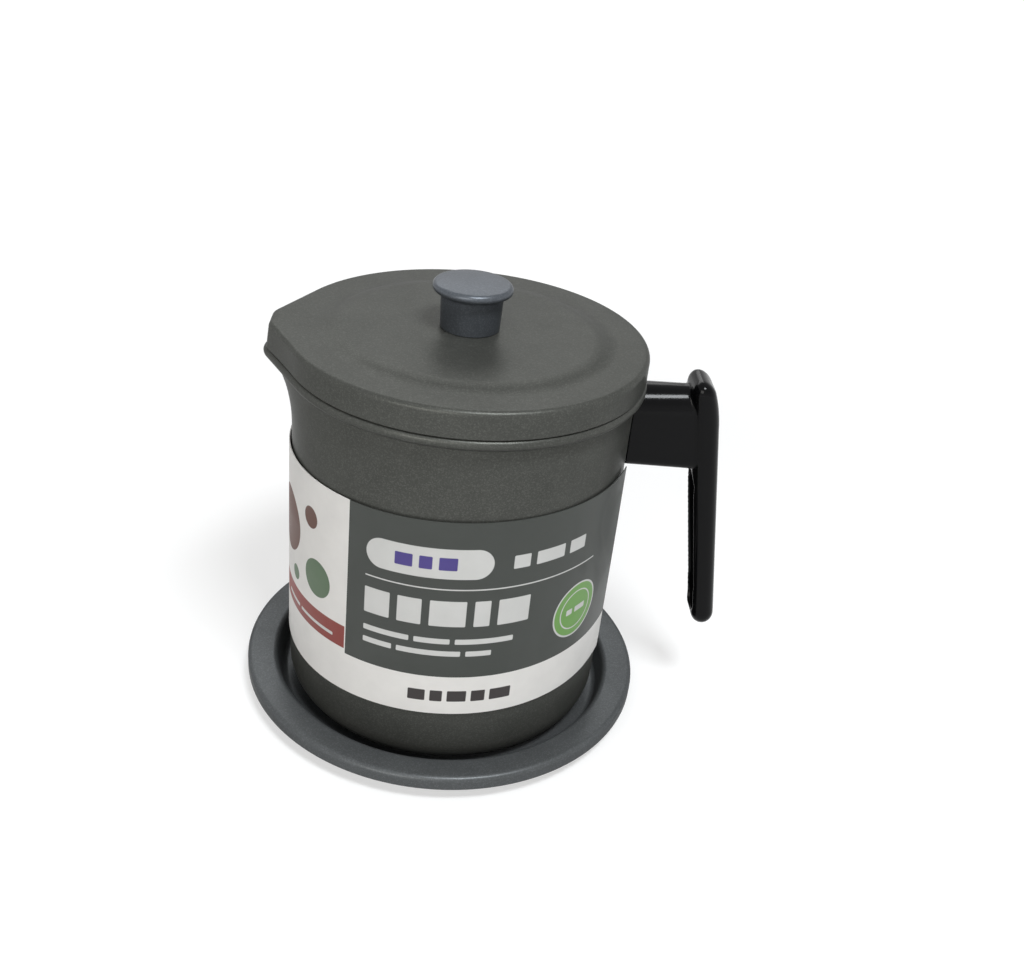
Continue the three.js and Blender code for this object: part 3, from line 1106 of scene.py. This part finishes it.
@dataclass
class SubAssembly:
    """A part of the grease pot that builds and dresses its own pieces. All sizes are in metres.

    Attributes:
        body: What its pieces ride on.
        palette: The material for each of the record's finishes.
    """

    body: ClassVar[Body]
    palette: dict[Slot, Material]

    def finish(
        self,
        mesh: Mesh,
        name: str,
        node: str,
        slot: Slot,
        softened: float = 0.0,
        crease: float = 32.0,
    ) -> None:
        """Turns a finished mesh into a piece that rides on the body.

        Args:
            mesh: The finished mesh, in place. It is freed.
            name: Name of the piece.
            node: CAD node that it stands for.
            slot: Its finish.
            softened: Width by which its crisp edges are rounded.
            crease: Degrees above which an edge stays crisp.
        """
        piece = lay_out(mesh, name)
        piece.data.shade_smooth()
        piece.data.set_sharp_from_angle(angle=math.radians(crease))
        piece.data.materials.append(self.palette[slot])
        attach(piece, self.body.value)
        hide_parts(node)
        if softened:
            bevel = piece.modifiers.new("softened_edges", "BEVEL")
            bevel.limit_method, bevel.angle_limit = "ANGLE", math.radians(SOFTENED_DEGREES)
            bevel.width = softened
            bevel.segments = SOFTENED_STEPS
        LOG.info("%s: %d faces, rides on %s", name, len(piece.data.polygons), self.body.value)

    def keep(self, node: str, slot: Slot) -> None:
        """Gives a CAD node that stays visible its material.

        Args:
            node: The CAD node.
            slot: Its finish.
        """
        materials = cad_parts[node].data.materials
        materials.clear()
        materials.append(self.palette[slot])
        LOG.info("%s keeps its CAD shape", node)


@dataclass
class Saucer(SubAssembly):
    """The drip saucer: one pressing with a flat floor, a raised flange and a turned-down rim."""

    body: ClassVar[Body] = Body.SAUCER
    sheet: float = 0.0008
    floor_radius: float = 0.0636
    well_radius: float = 0.0663
    radius: float = 0.0776
    height: float = 0.011
    dish: float = 0.0005
    bend: float = 0.0018
    rim_rounding: float = 0.002
    hem: float = 0.0052
    softened: float = 0.0002
    facet: float = 0.012
    steps: int = 192

    def build(self) -> None:
        """Builds the saucer's pressing."""
        line = Profile(
            Corner(0, self.sheet),
            Corner(self.floor_radius, self.sheet, self.bend, 6),
            Corner(self.well_radius, self.height - self.dish, self.bend, 6),
            Corner(self.radius, self.height, self.rim_rounding, 10),
            Corner(self.radius, self.height - self.hem),
        )
        pressing = thicken(line.divide(self.facet).turn(self.steps), self.sheet)
        self.finish(pressing, "saucer_pressing", "saucer", Slot.COATED_SAUCER, self.softened)


@dataclass
class PotShell(SubAssembly):
    """The drawn pot with its curled rim and its pouring lip."""

    body: ClassVar[Body] = Body.POT
    base: float
    radius: float = 0.0611
    sheet: float = 0.0006
    height: float = 0.1377
    corner: float = 0.011
    roll: float = 0.002
    roll_degrees: float = 290.0
    roll_steps: int = 18
    lip_out: float = 0.007
    lip_tip_half_width: float = 0.0026
    lip_rounding: float = 0.0024
    lip_depth: float = 0.026
    lip_dip: float = 0.0004
    lip_flare: float = 1.7
    crowding: float = 0.7
    softened: float = 0.00015
    facet: float = 0.0022
    steps: int = 240

    @property
    def rim(self) -> float:
        """Gives the height of the rim."""
        return self.base + self.height

    def build(self) -> None:
        """Builds the shell: a drawn cup, rolled outward at the rim and pinched out at the lip."""
        inside = self.radius - self.sheet
        line = Profile(
            Corner(0, self.sheet),
            Corner(inside, self.sheet, self.corner - self.sheet, 12),
            Corner(inside, self.height - self.roll),
        ).divide(self.facet)
        roll_height = self.height - self.roll
        line.roll(inside + self.roll, roll_height, self.roll_degrees, self.roll_steps)
        shell = line.turn(self.steps)
        crowd(shell, self.crowding)
        self.draw_out_lip(shell)
        lift(thicken(shell, self.sheet), self.base)
        self.finish(shell, "pot_shell", "pot_body", Slot.COATED_STEEL, self.softened)

    def draw_out_lip(self, shell: Mesh) -> None:
        """Pushes the upper wall out into the lip, flaring and dipping towards its tip.

        Args:
            shell: The turned wall.
        """
        tip = PinchedTip(self.radius, self.lip_out, self.lip_tip_half_width, self.lip_rounding)
        for vert in shell.verts:
            climb = ramp(vert.co.z, self.height - self.lip_depth, self.height - 2 * self.roll)
            if climb > 0:
                flare = climb**self.lip_flare
                push = tip.push(vert.co)
                radius = vert.co.xy.length
                vert.co.xy *= (radius + flare * push) / radius
                vert.co.z -= flare * self.lip_dip * push / self.lip_out


@dataclass
class PaperSleeve(SubAssembly):
    """The printed paper round the pot, from one side of the handle to the other, a little askew."""

    body: ClassVar[Body] = Body.POT
    base: float
    wall_radius: float
    gap: float = 0.0003
    paper: float = 0.0003
    height: float = 0.08
    foot: float = 0.0264
    opening: float = 0.036
    tilt: float = 0.03
    lifted: float = 0.0005
    loose: float = 0.014
    wave: float = 0.00025
    waves: int = 5
    facet: float = 0.004
    steps: int = 240

    @property
    def radius(self) -> float:
        """Gives the radius of the paper's outer face."""
        return self.wall_radius + self.gap + self.paper

    def build(self) -> None:
        """Builds the sleeve with its map."""
        free = self.opening / 2 / self.radius
        foot = self.base + self.foot
        line = Profile(Corner(self.radius, foot), Corner(self.radius, foot + self.height))
        wrap = line.divide(self.facet).turn(self.steps, free, math.tau - 2 * free)
        self.hang(wrap)
        centre = middle_face(wrap).calc_center_median()
        thicken(wrap, self.paper, Vector((centre.x, centre.y, 0)))
        self.map_paper(wrap, foot)
        self.finish(wrap, "paper_sleeve", "label_sleeve", Slot.PAPER)

    def hang(self, wrap: Mesh) -> None:
        """Hangs the paper askew, with faint waves and its ends standing a little off the wall.

        Args:
            wrap: The sleeve's mesh.
        """
        for vert in wrap.verts:
            angle = math.atan2(vert.co.y, vert.co.x)
            to_end = abs(angle) * self.radius - self.opening / 2
            lifted = self.lifted * max(1 - to_end / self.loose, 0) ** 2
            phase = self.waves * angle + vert.co.z / self.height * math.pi
            wave = self.wave * (1 + math.sin(phase)) / 2
            vert.co.z += self.tilt * vert.co.x
            vert.co.xy *= (self.radius + lifted + wave) / self.radius

    def map_paper(self, wrap: Mesh, foot: float) -> None:
        """Lays a flat map in metres on the sleeve, from the line under the lip and from its foot.

        Args:
            wrap: The sleeve's mesh.
            foot: Height of the sleeve's foot.
        """
        paper_map = wrap.loops.layers.uv.new("paper_map")
        for face in wrap.faces:
            for loop in face.loops:
                where = loop.vert.co
                along = self.radius * math.atan2(-where.y, -where.x)
                loop[paper_map].uv = (along, where.z - foot - self.tilt * where.x)


@dataclass
class Fastener:
    """A pan-head screw with a cross recess, and its washer.

    Each round is a share of the height, radius or thickness that it eases.
    """

    shank: float = 0.0024
    head: float = 0.0044
    head_height: float = 0.0026
    head_round: float = 0.7
    seat_round: float = 0.08
    tip_round: float = 0.4
    recess_depth: float = 0.0015
    recess_length: float = 0.0046
    recess_width: float = 0.0009
    washer: float = 0.0046
    washer_thickness: float = 0.0009
    washer_round: float = 0.2
    relief: float = 0.0004
    steps: int = 48

    def screw(self, length: float) -> Mesh:
        """Makes the screw along +Z, its head from zero up and its shank from zero down.

        Args:
            length: Length of the shank.

        Returns:
            The screw.
        """
        screw = Profile(
            Corner(0, self.head_height),
            Corner(self.head, self.head_height, self.head_height * self.head_round),
            Corner(self.head, 0, self.head_height * self.seat_round, 3),
            Corner(self.shank, 0),
            Corner(self.shank, -length, self.shank * self.tip_round, 4),
            Corner(0, -length),
        ).turn(self.steps)
        size = Vector((self.recess_length, self.recess_width, 2 * self.recess_depth))
        for turn in (0, math.pi / 2):
            arm = lift(cuboid(-size / 2, size / 2), self.head_height)
            screw = carve(screw, place(arm, Matrix.Rotation(turn, 4, "Z")), Carving.CUT)
        return screw

    def flat_washer(self) -> Mesh:
        """Makes the washer, lying on zero.

        Returns:
            The washer.
        """
        curve = (self.washer_thickness * self.washer_round, 3)
        low, high = (self.shank + self.relief, 0), (self.washer, self.washer_thickness)
        return rectangle(low, high, (), curve, curve, ()).turn(self.steps)


@dataclass
class Handle(SubAssembly):
    """The moulded handle: a stub on the wall and a leaning grip with a channel inside."""

    body: ClassVar[Body] = Body.POT
    wall_radius: float
    stub_top: float
    rim_drop: float = 0.0044
    stub_length: float = 0.0251
    stub_width: float = 0.0182
    stub_narrowing: float = 0.14
    stub_height: float = 0.03
    stub_corner: float = 0.003
    stub_flare: float = 0.045
    grip_rise: float = 0.0047
    grip_length: float = 0.1064
    grip_thickness: float = 0.0104
    grip_width: float = 0.0188
    grip_edge: float = 0.0044
    grip_taper: float = 0.14
    lean_degrees: float = 9.4
    channel_wall: float = 0.0026
    channel_skin: float = 0.0034
    channel_end: float = 0.0042
    seat_gap: float = 0.0001
    shoulder_height: float = 0.018
    shoulder_inset: float = 0.0026
    saddle_width: float = 0.0136
    saddle_height: float = 0.0206
    saddle_depth: float = 0.0018
    pocket_width: float = 0.0116
    pocket_height: float = 0.0166
    pocket_depth: float = 0.01605
    bore: float = 0.0028
    recess: float = 0.0051
    recess_depth: float = 0.0052
    clearance: float = 0.0001
    overrun: float = 0.001
    facet: float = 0.003
    skin_grid: float = 0.0004
    skin_passes: int = 9
    crease: float = 50.0
    foot_steps: int = 6
    arch_steps: int = 20
    bar_steps: int = 16
    edge_steps: int = 10
    bore_steps: int = 32
    recess_steps: int = 48
    wall_steps: int = 192

    @property
    def lean(self) -> float:
        """Gives the angle at which the grip leans."""
        return math.radians(self.lean_degrees)

    @property
    def grip_reach(self) -> float:
        """Gives the distance of the grip's axis from the pot's at the top of the stub."""
        return self.wall_radius + self.stub_length

    @property
    def middle(self) -> float:
        """Gives the height of the stub's middle."""
        return self.stub_top - self.stub_height / 2

    @property
    def head_seat(self) -> float:
        """Gives the distance of the screw head's seat from the pot's axis."""
        outer = self.grip_reach + self.stub_height / 2 * math.tan(self.lean)
        return outer + self.grip_thickness / 2 / math.cos(self.lean) - self.recess_depth

    def build(self) -> None:
        """Builds the moulding and its fasteners, and dresses the hidden bracket and nut."""
        self.build_moulding()
        self.build_fasteners()
        self.keep("handle_bracket", Slot.STAINLESS)
        self.keep("handle_nut", Slot.STAINLESS)

    def stub(self) -> Mesh:
        """Makes the stub with its half-round top, taller and narrower towards the grip.

        Returns:
            The stub, from inside the wall to the middle of the grip.
        """
        half = self.stub_width / 2
        foot, arch = (self.stub_corner, self.foot_steps), (half * HALF_ROUND, self.arch_steps)
        low, high = (-half, self.stub_top - self.stub_height), (half, self.stub_top)
        section = rectangle(low, high, foot, foot, arch, arch)
        bar = prism(section, self.stub_length + self.overrun)
        for vert in bar.verts:
            along = (vert.co.y - self.overrun) / self.stub_length
            vert.co.x *= 1 - self.stub_narrowing * along
            vert.co.z = self.middle + (vert.co.z - self.middle) * (1 + self.stub_flare * along)
        inward = Matrix.Translation((self.wall_radius - self.overrun, 0, 0))
        return place(bar, inward @ Matrix.Rotation(-math.pi / 2, 4, "Z"))

    def hanging_bar(self, thickness: float, length: float, width: float) -> Mesh:
        """Makes a bar with half-round ends that hangs from zero.

        Args:
            thickness: Size along X.
            length: Size along Z.
            width: Size along Y.

        Returns:
            The bar.
        """
        half = thickness / 2
        curves = [(half * HALF_ROUND, self.bar_steps)] * 4
        section = rectangle((-half, -length), (half, 0), *curves).divide(self.facet)
        return place(prism(section, width), Matrix.Translation((0, -width / 2, 0)))

    def lean_out(self, mesh: Mesh) -> Mesh:
        """Tapers a hanging piece towards its foot, leans it outward and sets it in place.

        Args:
            mesh: The piece, hanging from zero.

        Returns:
            The same piece.
        """
        for vert in mesh.verts:
            vert.co.xy *= 1 + self.grip_taper * vert.co.z / self.grip_length
        leaning = Matrix.Rotation(-self.lean, 4, "Y") @ Matrix.Translation((0, 0, self.grip_rise))
        return place(mesh, Matrix.Translation((self.grip_reach, 0, self.stub_top)) @ leaning)

    def grip(self) -> Mesh:
        """Makes the leaning grip with its rounded edges and its outer face drawn in at the top.

        Returns:
            The grip.
        """
        bar = self.hanging_bar(self.grip_thickness, self.grip_length, self.grip_width)
        rims = [edge for edge in bar.edges if edge.verts[0].co.y == edge.verts[1].co.y]
        bmesh.ops.bevel(
            bar,
            geom=rims,
            offset=self.grip_edge,
            offset_type="OFFSET",
            segments=self.edge_steps,
            profile=0.5,
            affect="EDGES",
            material=-1,
        )
        half = self.grip_thickness / 2
        for vert in bar.verts:
            climb = max(1 + vert.co.z / self.shoulder_height, 0)
            outer = (vert.co.x + half) / self.grip_thickness
            vert.co.x -= self.shoulder_inset * climb**2 * outer
        return self.lean_out(bar)

    def channel(self) -> Mesh:
        """Makes the shape that is cut out of the grip's inner face.

        Returns:
            The channel's shape.
        """
        top = self.grip_rise + self.stub_height * (1 + self.stub_flare / 2)
        length = self.grip_length - top - self.channel_end
        width = self.grip_width - 2 * self.channel_wall
        depth = self.grip_thickness - self.channel_skin + self.overrun
        inner = -self.grip_thickness / 2 - self.overrun + depth / 2
        hung = Matrix.Translation((inner, 0, -self.grip_length + self.channel_end + length))
        slot = self.hanging_bar(width, length, depth)
        return self.lean_out(place(slot, hung @ Matrix.Rotation(math.pi / 2, 4, "Z")))

    def pocket(self, width: float, height: float, depth: float) -> Mesh:
        """Makes the shape of a pocket in the stub for the bracket.

        Args:
            width: Size along Y.
            height: Size along Z.
            depth: How far it reaches beyond the pot's wall.

        Returns:
            The pocket's shape, from the axis outward.
        """
        low = (0, -width / 2, self.middle - height / 2)
        return cuboid(low, (self.wall_radius + depth, width / 2, self.middle + height / 2))

    def build_moulding(self) -> None:
        """Builds the moulding, whose skin is eased before the bracket's room is cut into it."""
        along = Matrix.Translation((0, 0, self.middle)) @ Matrix.Rotation(math.pi / 2, 4, "Y")
        seat, outside = self.head_seat, self.head_seat + self.stub_height
        recess = rod(self.recess, seat, outside, self.recess_steps)
        bore = rod(self.bore, self.wall_radius, seat + self.overrun, self.bore_steps)
        foot, top = self.stub_top - 2 * self.stub_height, self.stub_top + self.stub_height
        moulding = carve(self.grip(), self.stub(), Carving.JOIN)
        for tool in (self.channel(), place(recess, along)):
            moulding = carve(moulding, tool, Carving.CUT)
        moulding = mould_over(moulding, self.skin_grid, self.skin_passes)
        for tool in (
            rod(self.wall_radius + self.seat_gap, foot, top, self.wall_steps),
            self.pocket(self.saddle_width, self.saddle_height, self.saddle_depth),
            self.pocket(self.pocket_width, self.pocket_height, self.pocket_depth),
            place(bore, along),
        ):
            moulding = carve(moulding, tool, Carving.CUT)
        name, node = "handle_moulding", "handle_grip"
        self.finish(moulding, name, node, Slot.PHENOLIC, crease=self.crease)

    def build_fasteners(self) -> None:
        """Builds the screw and the washer that are sunk into the grip's outer face."""
        fastener = Fastener()
        along = Matrix.Rotation(math.pi / 2, 4, "Y")
        seat = self.head_seat + self.clearance
        under_head = seat + fastener.washer_thickness + self.clearance
        low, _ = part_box("handle_screw")
        screw = fastener.screw(under_head - low.x)
        place(screw, Matrix.Translation((under_head, 0, self.middle)) @ along)
        washer = fastener.flat_washer()
        place(washer, Matrix.Translation((seat, 0, self.middle)) @ along)
        self.finish(screw, "grip_screw", "handle_screw", Slot.STAINLESS)
        self.finish(washer, "grip_washer", "handle_washer", Slot.STAINLESS)


@dataclass
class Strainer(SubAssembly):
    """The strainer: a drawn cup that hangs from the rim, with a woven net clamped on its ledge."""

    body: ClassVar[Body] = Body.STRAINER
    seat: float
    rim_gap: float = 0.0003
    radius: float = 0.0595
    sheet: float = 0.0006
    depth: float = 0.03
    corner: float = 0.004
    bend: float = 0.00072
    collar_bend: float = 0.00036
    ledge: float = 0.0065
    collar_radius: float = 0.0623
    collar_height: float = 0.003
    net_margin: float = 0.0019
    net_pitch: float = 0.0016
    wire: float = 0.00021
    wire_sway: float = 0.8
    ring_width: float = 0.0034
    ring_thickness: float = 0.0008
    ring_round: float = 0.3
    clearance: float = 0.0001
    softened: float = 0.00012
    net_crease: float = 60.0
    facet: float = 0.008
    steps: int = 192

    @property
    def opening(self) -> float:
        """Gives the radius of the opening over which the net lies."""
        return self.radius - self.sheet - self.ledge

    def build(self) -> None:
        """Builds the cup, the net and the ring that clamps it."""
        self.build_cup()
        self.build_net()
        self.build_ring()

    def build_cup(self) -> None:
        """Builds the drawn cup."""
        inside = self.radius - self.sheet
        line = Profile(
            Corner(self.opening, self.sheet - self.depth),
            Corner(inside, self.sheet - self.depth, self.corner),
            Corner(inside, self.sheet, self.bend, 5),
            Corner(self.collar_radius, self.sheet, self.collar_bend, 4),
            Corner(self.collar_radius, self.collar_height),
        )
        cup = lift(thicken(line.divide(self.facet).turn(self.steps), self.sheet), self.seat)
        self.finish(cup, "strainer_pressing", "strainer_cup", Slot.STAINLESS, self.softened)

    def build_net(self) -> None:
        """Builds the woven net: wires both ways, each passing over and under the next."""
        height = self.seat + self.sheet - self.depth + self.clearance + 2 * self.wire
        radius = self.opening + self.net_margin
        curve = bpy.data.curves.new("net_wires", "CURVE")
        curve.dimensions = "3D"
        curve.bevel_depth = self.wire
        curve.bevel_resolution = 0
        curve.use_fill_caps = True
        reach = math.floor(radius / self.net_pitch)
        for across in (False, True):
            for line in range(-reach, reach + 1):
                offset = line * self.net_pitch
                half_chord = math.sqrt(max(radius**2 - offset**2, 0))
                crossings = math.floor(half_chord / self.net_pitch)
                if crossings < 1:
                    continue
                wire = curve.splines.new("POLY")
                wire.points.add(2 * crossings)
                for point, step in zip(wire.points, range(-crossings, crossings + 1)):
                    over = 1 if (step + line + across) % 2 else -1
                    along = step * self.net_pitch
                    where = (along, offset) if across else (offset, along)
                    point.co = (*where, height + over * self.wire * self.wire_sway, 1)
        wires = put_in("net_wires", curve)
        net = bmesh.new()
        net.from_mesh(wires.to_mesh())
        bpy.data.objects.remove(wires)
        self.finish(net, "woven_net", "strainer_net", Slot.STAINLESS, crease=self.net_crease)

    def build_ring(self) -> None:
        """Builds the flat ring that clamps the net."""
        low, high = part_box("net_ring")
        curves = [(self.ring_thickness * self.ring_round, 3)] * 4
        inner = (high.x - self.ring_width, low.z)
        section = rectangle(inner, (high.x, low.z + self.ring_thickness), *curves)
        self.finish(section.turn(self.steps), "clamp_ring", "net_ring", Slot.STAINLESS)


@dataclass
class Lid(SubAssembly):
    """The lid: a pressing with a raised middle and a hood over the lip, and its knob."""

    body: ClassVar[Body] = Body.LID
    plane: float
    radius: float = 0.064
    sheet: float = 0.0006
    skirt: float = 0.0096
    edge: float = 0.0018
    border: float = 0.0135
    step_run: float = 0.0045
    step_bend: float = 0.0022
    crown: float = 0.0013
    seat_rise: float = 0.0004
    seat_radius: float = 0.013
    seat_bend: float = 0.001
    hood_out: float = 0.0049
    hood_tip_half_width: float = 0.0056
    hood_rounding: float = 0.0014
    hood_flare: float = 0.001
    crowding: float = 0.7
    bore: float = 0.0028
    softened: float = 0.00015
    facet: float = 0.0018
    steps: int = 240
    knob_height: float = 0.0169
    disc_radius: float = 0.014
    disc_thickness: float = 0.0038
    disc_rounding: float = 0.0014
    disc_under_rounding: float = 0.001344
    dome: float = 0.0008
    dome_rounding: float = 0.005
    knob_fillet: float = 0.0014
    foot_radius: float = 0.0105
    foot_rounding: float = 0.0003
    neck_radius: float = 0.011
    knob_steps: int = 160
    insert_radius: float = 0.004
    insert_length: float = 0.011
    clearance: float = 0.0001

    @property
    def knob_seat(self) -> float:
        """Gives the height on which the knob stands."""
        return self.plane + self.crown + self.seat_rise

    def build(self) -> None:
        """Builds the pressing, the knob and its fasteners, and dresses the hidden insert."""
        self.build_pressing()
        self.build_knob()
        self.build_fasteners()
        self.keep("knob_insert", Slot.INSERT_BRASS)

    def build_pressing(self) -> None:
        """Builds the lid's pressing."""
        step = self.radius - self.border
        seat = self.crown + self.seat_rise
        line = Profile(
            Corner(self.bore, seat),
            Corner(self.seat_radius, seat, self.seat_bend, 4),
            Corner(self.seat_radius + self.step_run, self.crown, self.seat_bend, 4),
            Corner(step - self.step_run, self.crown, self.step_bend, 8),
            Corner(step, 0, self.step_bend, 8),
            Corner(self.radius, 0, self.edge, 10),
            Corner(self.radius, -self.skirt),
        )
        pressing = line.divide(self.facet).turn(self.steps)
        crowd(pressing, self.crowding)
        self.draw_out_hood(pressing, step)
        lift(thicken(pressing, self.sheet), self.plane)
        self.finish(pressing, "lid_pressing", "lid", Slot.COATED_STEEL, self.softened)

    def draw_out_hood(self, pressing: Mesh, step: float) -> None:
        """Pushes the border and the skirt out into the hood over the lip.

        Args:
            pressing: The turned sheet.
            step: Radius at which the border starts.
        """
        tip = PinchedTip(self.radius, self.hood_out, self.hood_tip_half_width, self.hood_rounding)
        for vert in pressing.verts:
            radius = vert.co.xy.length
            out = ramp(radius, step, self.radius - self.edge)
            if out > 0:
                push = tip.push(vert.co)
                flare = ramp(-vert.co.z, 0, self.skirt) * self.hood_flare * push / self.hood_out
                vert.co.xy *= (radius + out * (push + flare)) / radius

    def build_knob(self) -> None:
        """Builds the knob: a wide stem under a domed disc, with a blind bore for its insert."""
        under_disc = self.knob_height - self.disc_thickness
        bore, depth = self.insert_radius + self.clearance, self.insert_length + self.clearance
        line = Profile(
            Corner(0, depth),
            Corner(bore, depth),
            Corner(bore, 0),
            Corner(self.foot_radius, 0, self.foot_rounding, 3),
            Corner(self.neck_radius, under_disc, self.knob_fillet, 10),
            Corner(self.disc_radius, under_disc, self.disc_under_rounding, 10),
            Corner(self.disc_radius, self.knob_height - self.dome, self.disc_rounding, 10),
            Corner(self.disc_radius / 2, self.knob_height, self.dome_rounding, 10),
            Corner(0, self.knob_height),
        )
        knob = lift(line.turn(self.knob_steps), self.knob_seat + self.clearance)
        self.finish(knob, "knob", "lid_knob", Slot.KNOB_COAT)

    def build_fasteners(self) -> None:
        """Builds the screw and washer that hold the knob from inside the lid."""
        fastener = Fastener()
        low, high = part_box("knob_screw")
        under_lid = self.knob_seat - self.sheet - self.clearance - fastener.washer_thickness
        screw = fastener.screw(high.z - low.z - fastener.head_height)
        lift(place(screw, Matrix.Rotation(math.pi, 4, "X")), under_lid - self.clearance)
        washer = lift(fastener.flat_washer(), under_lid)
        self.finish(screw, "lid_screw", "knob_screw", Slot.STAINLESS)
        self.finish(washer, "lid_washer", "knob_washer", Slot.STAINLESS)


# The studio


@dataclass
class Softbox:
    """A square lamp that looks at the middle of the pot.

    Its level is the light on a face square to it at the pot, as a share of full light.
    """

    name: str
    place: tuple[float, float, float]
    width: float
    depth: float
    level: float
    tone: tuple[float, float, float] = (1.0, 1.0, 1.0)

    def build(self, target: Vector) -> None:
        """Sets the lamp up.

        Args:
            target: The point at which it looks.
        """
        lamp = bpy.data.lights.new(self.name, "AREA")
        lamp.shape = "RECTANGLE"
        lamp.size = self.width
        lamp.size_y = self.depth
        away = target - Vector(self.place)
        lamp.energy = math.pi**2 * self.level * away.length_squared
        lamp.color = self.tone
        holder = put_in(self.name, lamp)
        holder.location = self.place
        holder.rotation_euler = away.to_track_quat("-Z", "Y").to_euler()


@dataclass
class Studio:
    """A pale floor under soft light, seen from the photograph's place."""

    camera_place: tuple[float, float, float] = (-0.01103, -0.38430, 0.30593)
    camera_forward: tuple[float, float, float] = (0.07262, 0.86519, -0.49616)
    camera_right: tuple[float, float, float] = (0.99480, -0.02720, 0.09816)
    lens: float = 41.23
    clip_start: float = 0.01
    floor_reach: float = 8.0
    floor_tone: float = 0.5
    floor_glow: float = 0.53
    glow_ends: tuple[float, float] = (0.3, 1.6)
    sky_level: float = 0.28
    ceiling_level: float = 0.7
    ceiling_ends: tuple[float, float] = (0.12, 0.55)
    softboxes: tuple[Softbox, ...] = (
        Softbox("ceiling_lamp", (0.3, -0.56, 1.32), 0.42, 0.3, 0.76, (0.95, 0.98, 1.0)),
        Softbox("left_window", (-0.5, -1.2, 0.72), 0.8, 0.6, 0.36, (1.0, 0.98, 0.94)),
        Softbox("back_window", (-0.25, 1.2, 0.95), 1.3, 0.5, 0.2),
    )

    def build(self, target: Vector) -> None:
        """Sets up the floor, the sky, the lamps and the camera.

        Args:
            target: The point at which the lamps look.
        """
        bpy.context.scene.view_settings.view_transform = "Standard"
        self.build_floor()
        self.build_sky()
        for softbox in self.softboxes:
            softbox.build(target)
        self.build_camera()

    def build_floor(self) -> None:
        """Lays the floor, white to the camera and still shaded by the pot."""
        mesh = bmesh.new()
        bmesh.ops.create_circle(mesh, cap_ends=True, segments=64, radius=self.floor_reach)
        floor = lay_out(mesh, "floor")
        material = bpy.data.materials.new("pale_floor")
        material.use_nodes = True
        wiring = Wiring(material.node_tree)
        nodes = material.node_tree.nodes
        nodes.remove(nodes["Principled BSDF"])
        matt = wiring.add("BsdfDiffuse", {"Color": shade(WHITE, self.floor_tone)}).outputs[0]
        away = wiring.vector("LENGTH", wiring.add("TexCoord").outputs["Object"], output="Value")
        strength = wiring.remap(away, (self.floor_glow, 1.0), self.glow_ends)
        glow = wiring.add("Emission", {"Color": WHITE, "Strength": strength}).outputs[0]
        both = wiring.add("AddShader", {0: matt, 1: glow}).outputs[0]
        seen = self.seen_directly(wiring)
        choice = wiring.add("MixShader", {"Fac": seen, 1: matt, 2: both}).outputs[0]
        wiring.feed(nodes["Material Output"], {"Surface": choice})
        floor.data.materials.append(material)

    @staticmethod
    def seen_directly(wiring: Wiring) -> Socket:
        """Gives 1 where the camera sees a surface, also mirrored, and 0 where it only gives light.

        Args:
            wiring: The wiring on the surface's tree.

        Returns:
            The output.
        """
        path = wiring.add("LightPath").outputs
        mirrored = wiring.math("MAXIMUM", path["Is Glossy Ray"], path["Is Transmission Ray"])
        return wiring.math("MAXIMUM", path["Is Camera Ray"], mirrored)

    def build_sky(self) -> None:
        """Lights everything evenly, and shows a white horizon under a dimmer ceiling."""
        world = bpy.data.worlds.new("pale_room")
        world.use_nodes = True
        bpy.context.scene.world = world
        wiring = Wiring(world.node_tree)
        direction = wiring.add("TexCoord").outputs["Generated"]
        height = wiring.add("SeparateXYZ", {"Vector": direction}).outputs["Z"]
        shown = wiring.remap(height, (1.0, self.ceiling_level), self.ceiling_ends, smooth=True)
        level = wiring.remap(self.seen_directly(wiring), (self.sky_level, shown))
        wiring.feed(world.node_tree.nodes["Background"], {"Strength": level, "Color": WHITE})

    def build_camera(self) -> None:
        """Sets the camera at the photograph's place."""
        lens = bpy.data.cameras.new("camera")
        lens.lens = self.lens
        lens.clip_start = self.clip_start
        forward = Vector(self.camera_forward).normalized()
        right = Vector(self.camera_right)
        right = (right - forward * right.dot(forward)).normalized()
        turned = Matrix((right, right.cross(forward), -forward)).transposed()
        camera = put_in("camera", lens)
        camera.matrix_world = Matrix.Translation(self.camera_place) @ turned.to_4x4()
        bpy.context.scene.camera = camera


def main() -> None:
    """Builds the grease pot and its studio."""
    logging.basicConfig(level=logging.INFO, format="%(name)s: %(message)s")
    low, high = (Vector(corner) for corner in cad_bounds)
    Studio().build((low + high) / 2)
    palette = build_palette()
    pot = PotShell(palette, base=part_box("pot_body")[0].z)
    for part in (
        Saucer(palette),
        pot,
        PaperSleeve(palette, base=pot.base, wall_radius=pot.radius),
        Handle(palette, wall_radius=pot.radius, stub_top=pot.rim - Handle.rim_drop),
        Strainer(palette, seat=pot.rim + Strainer.rim_gap),
        Lid(palette, plane=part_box("lid")[0].z + Lid.skirt),
    ):
        part.build()


if __name__ == "__main__":
    main()
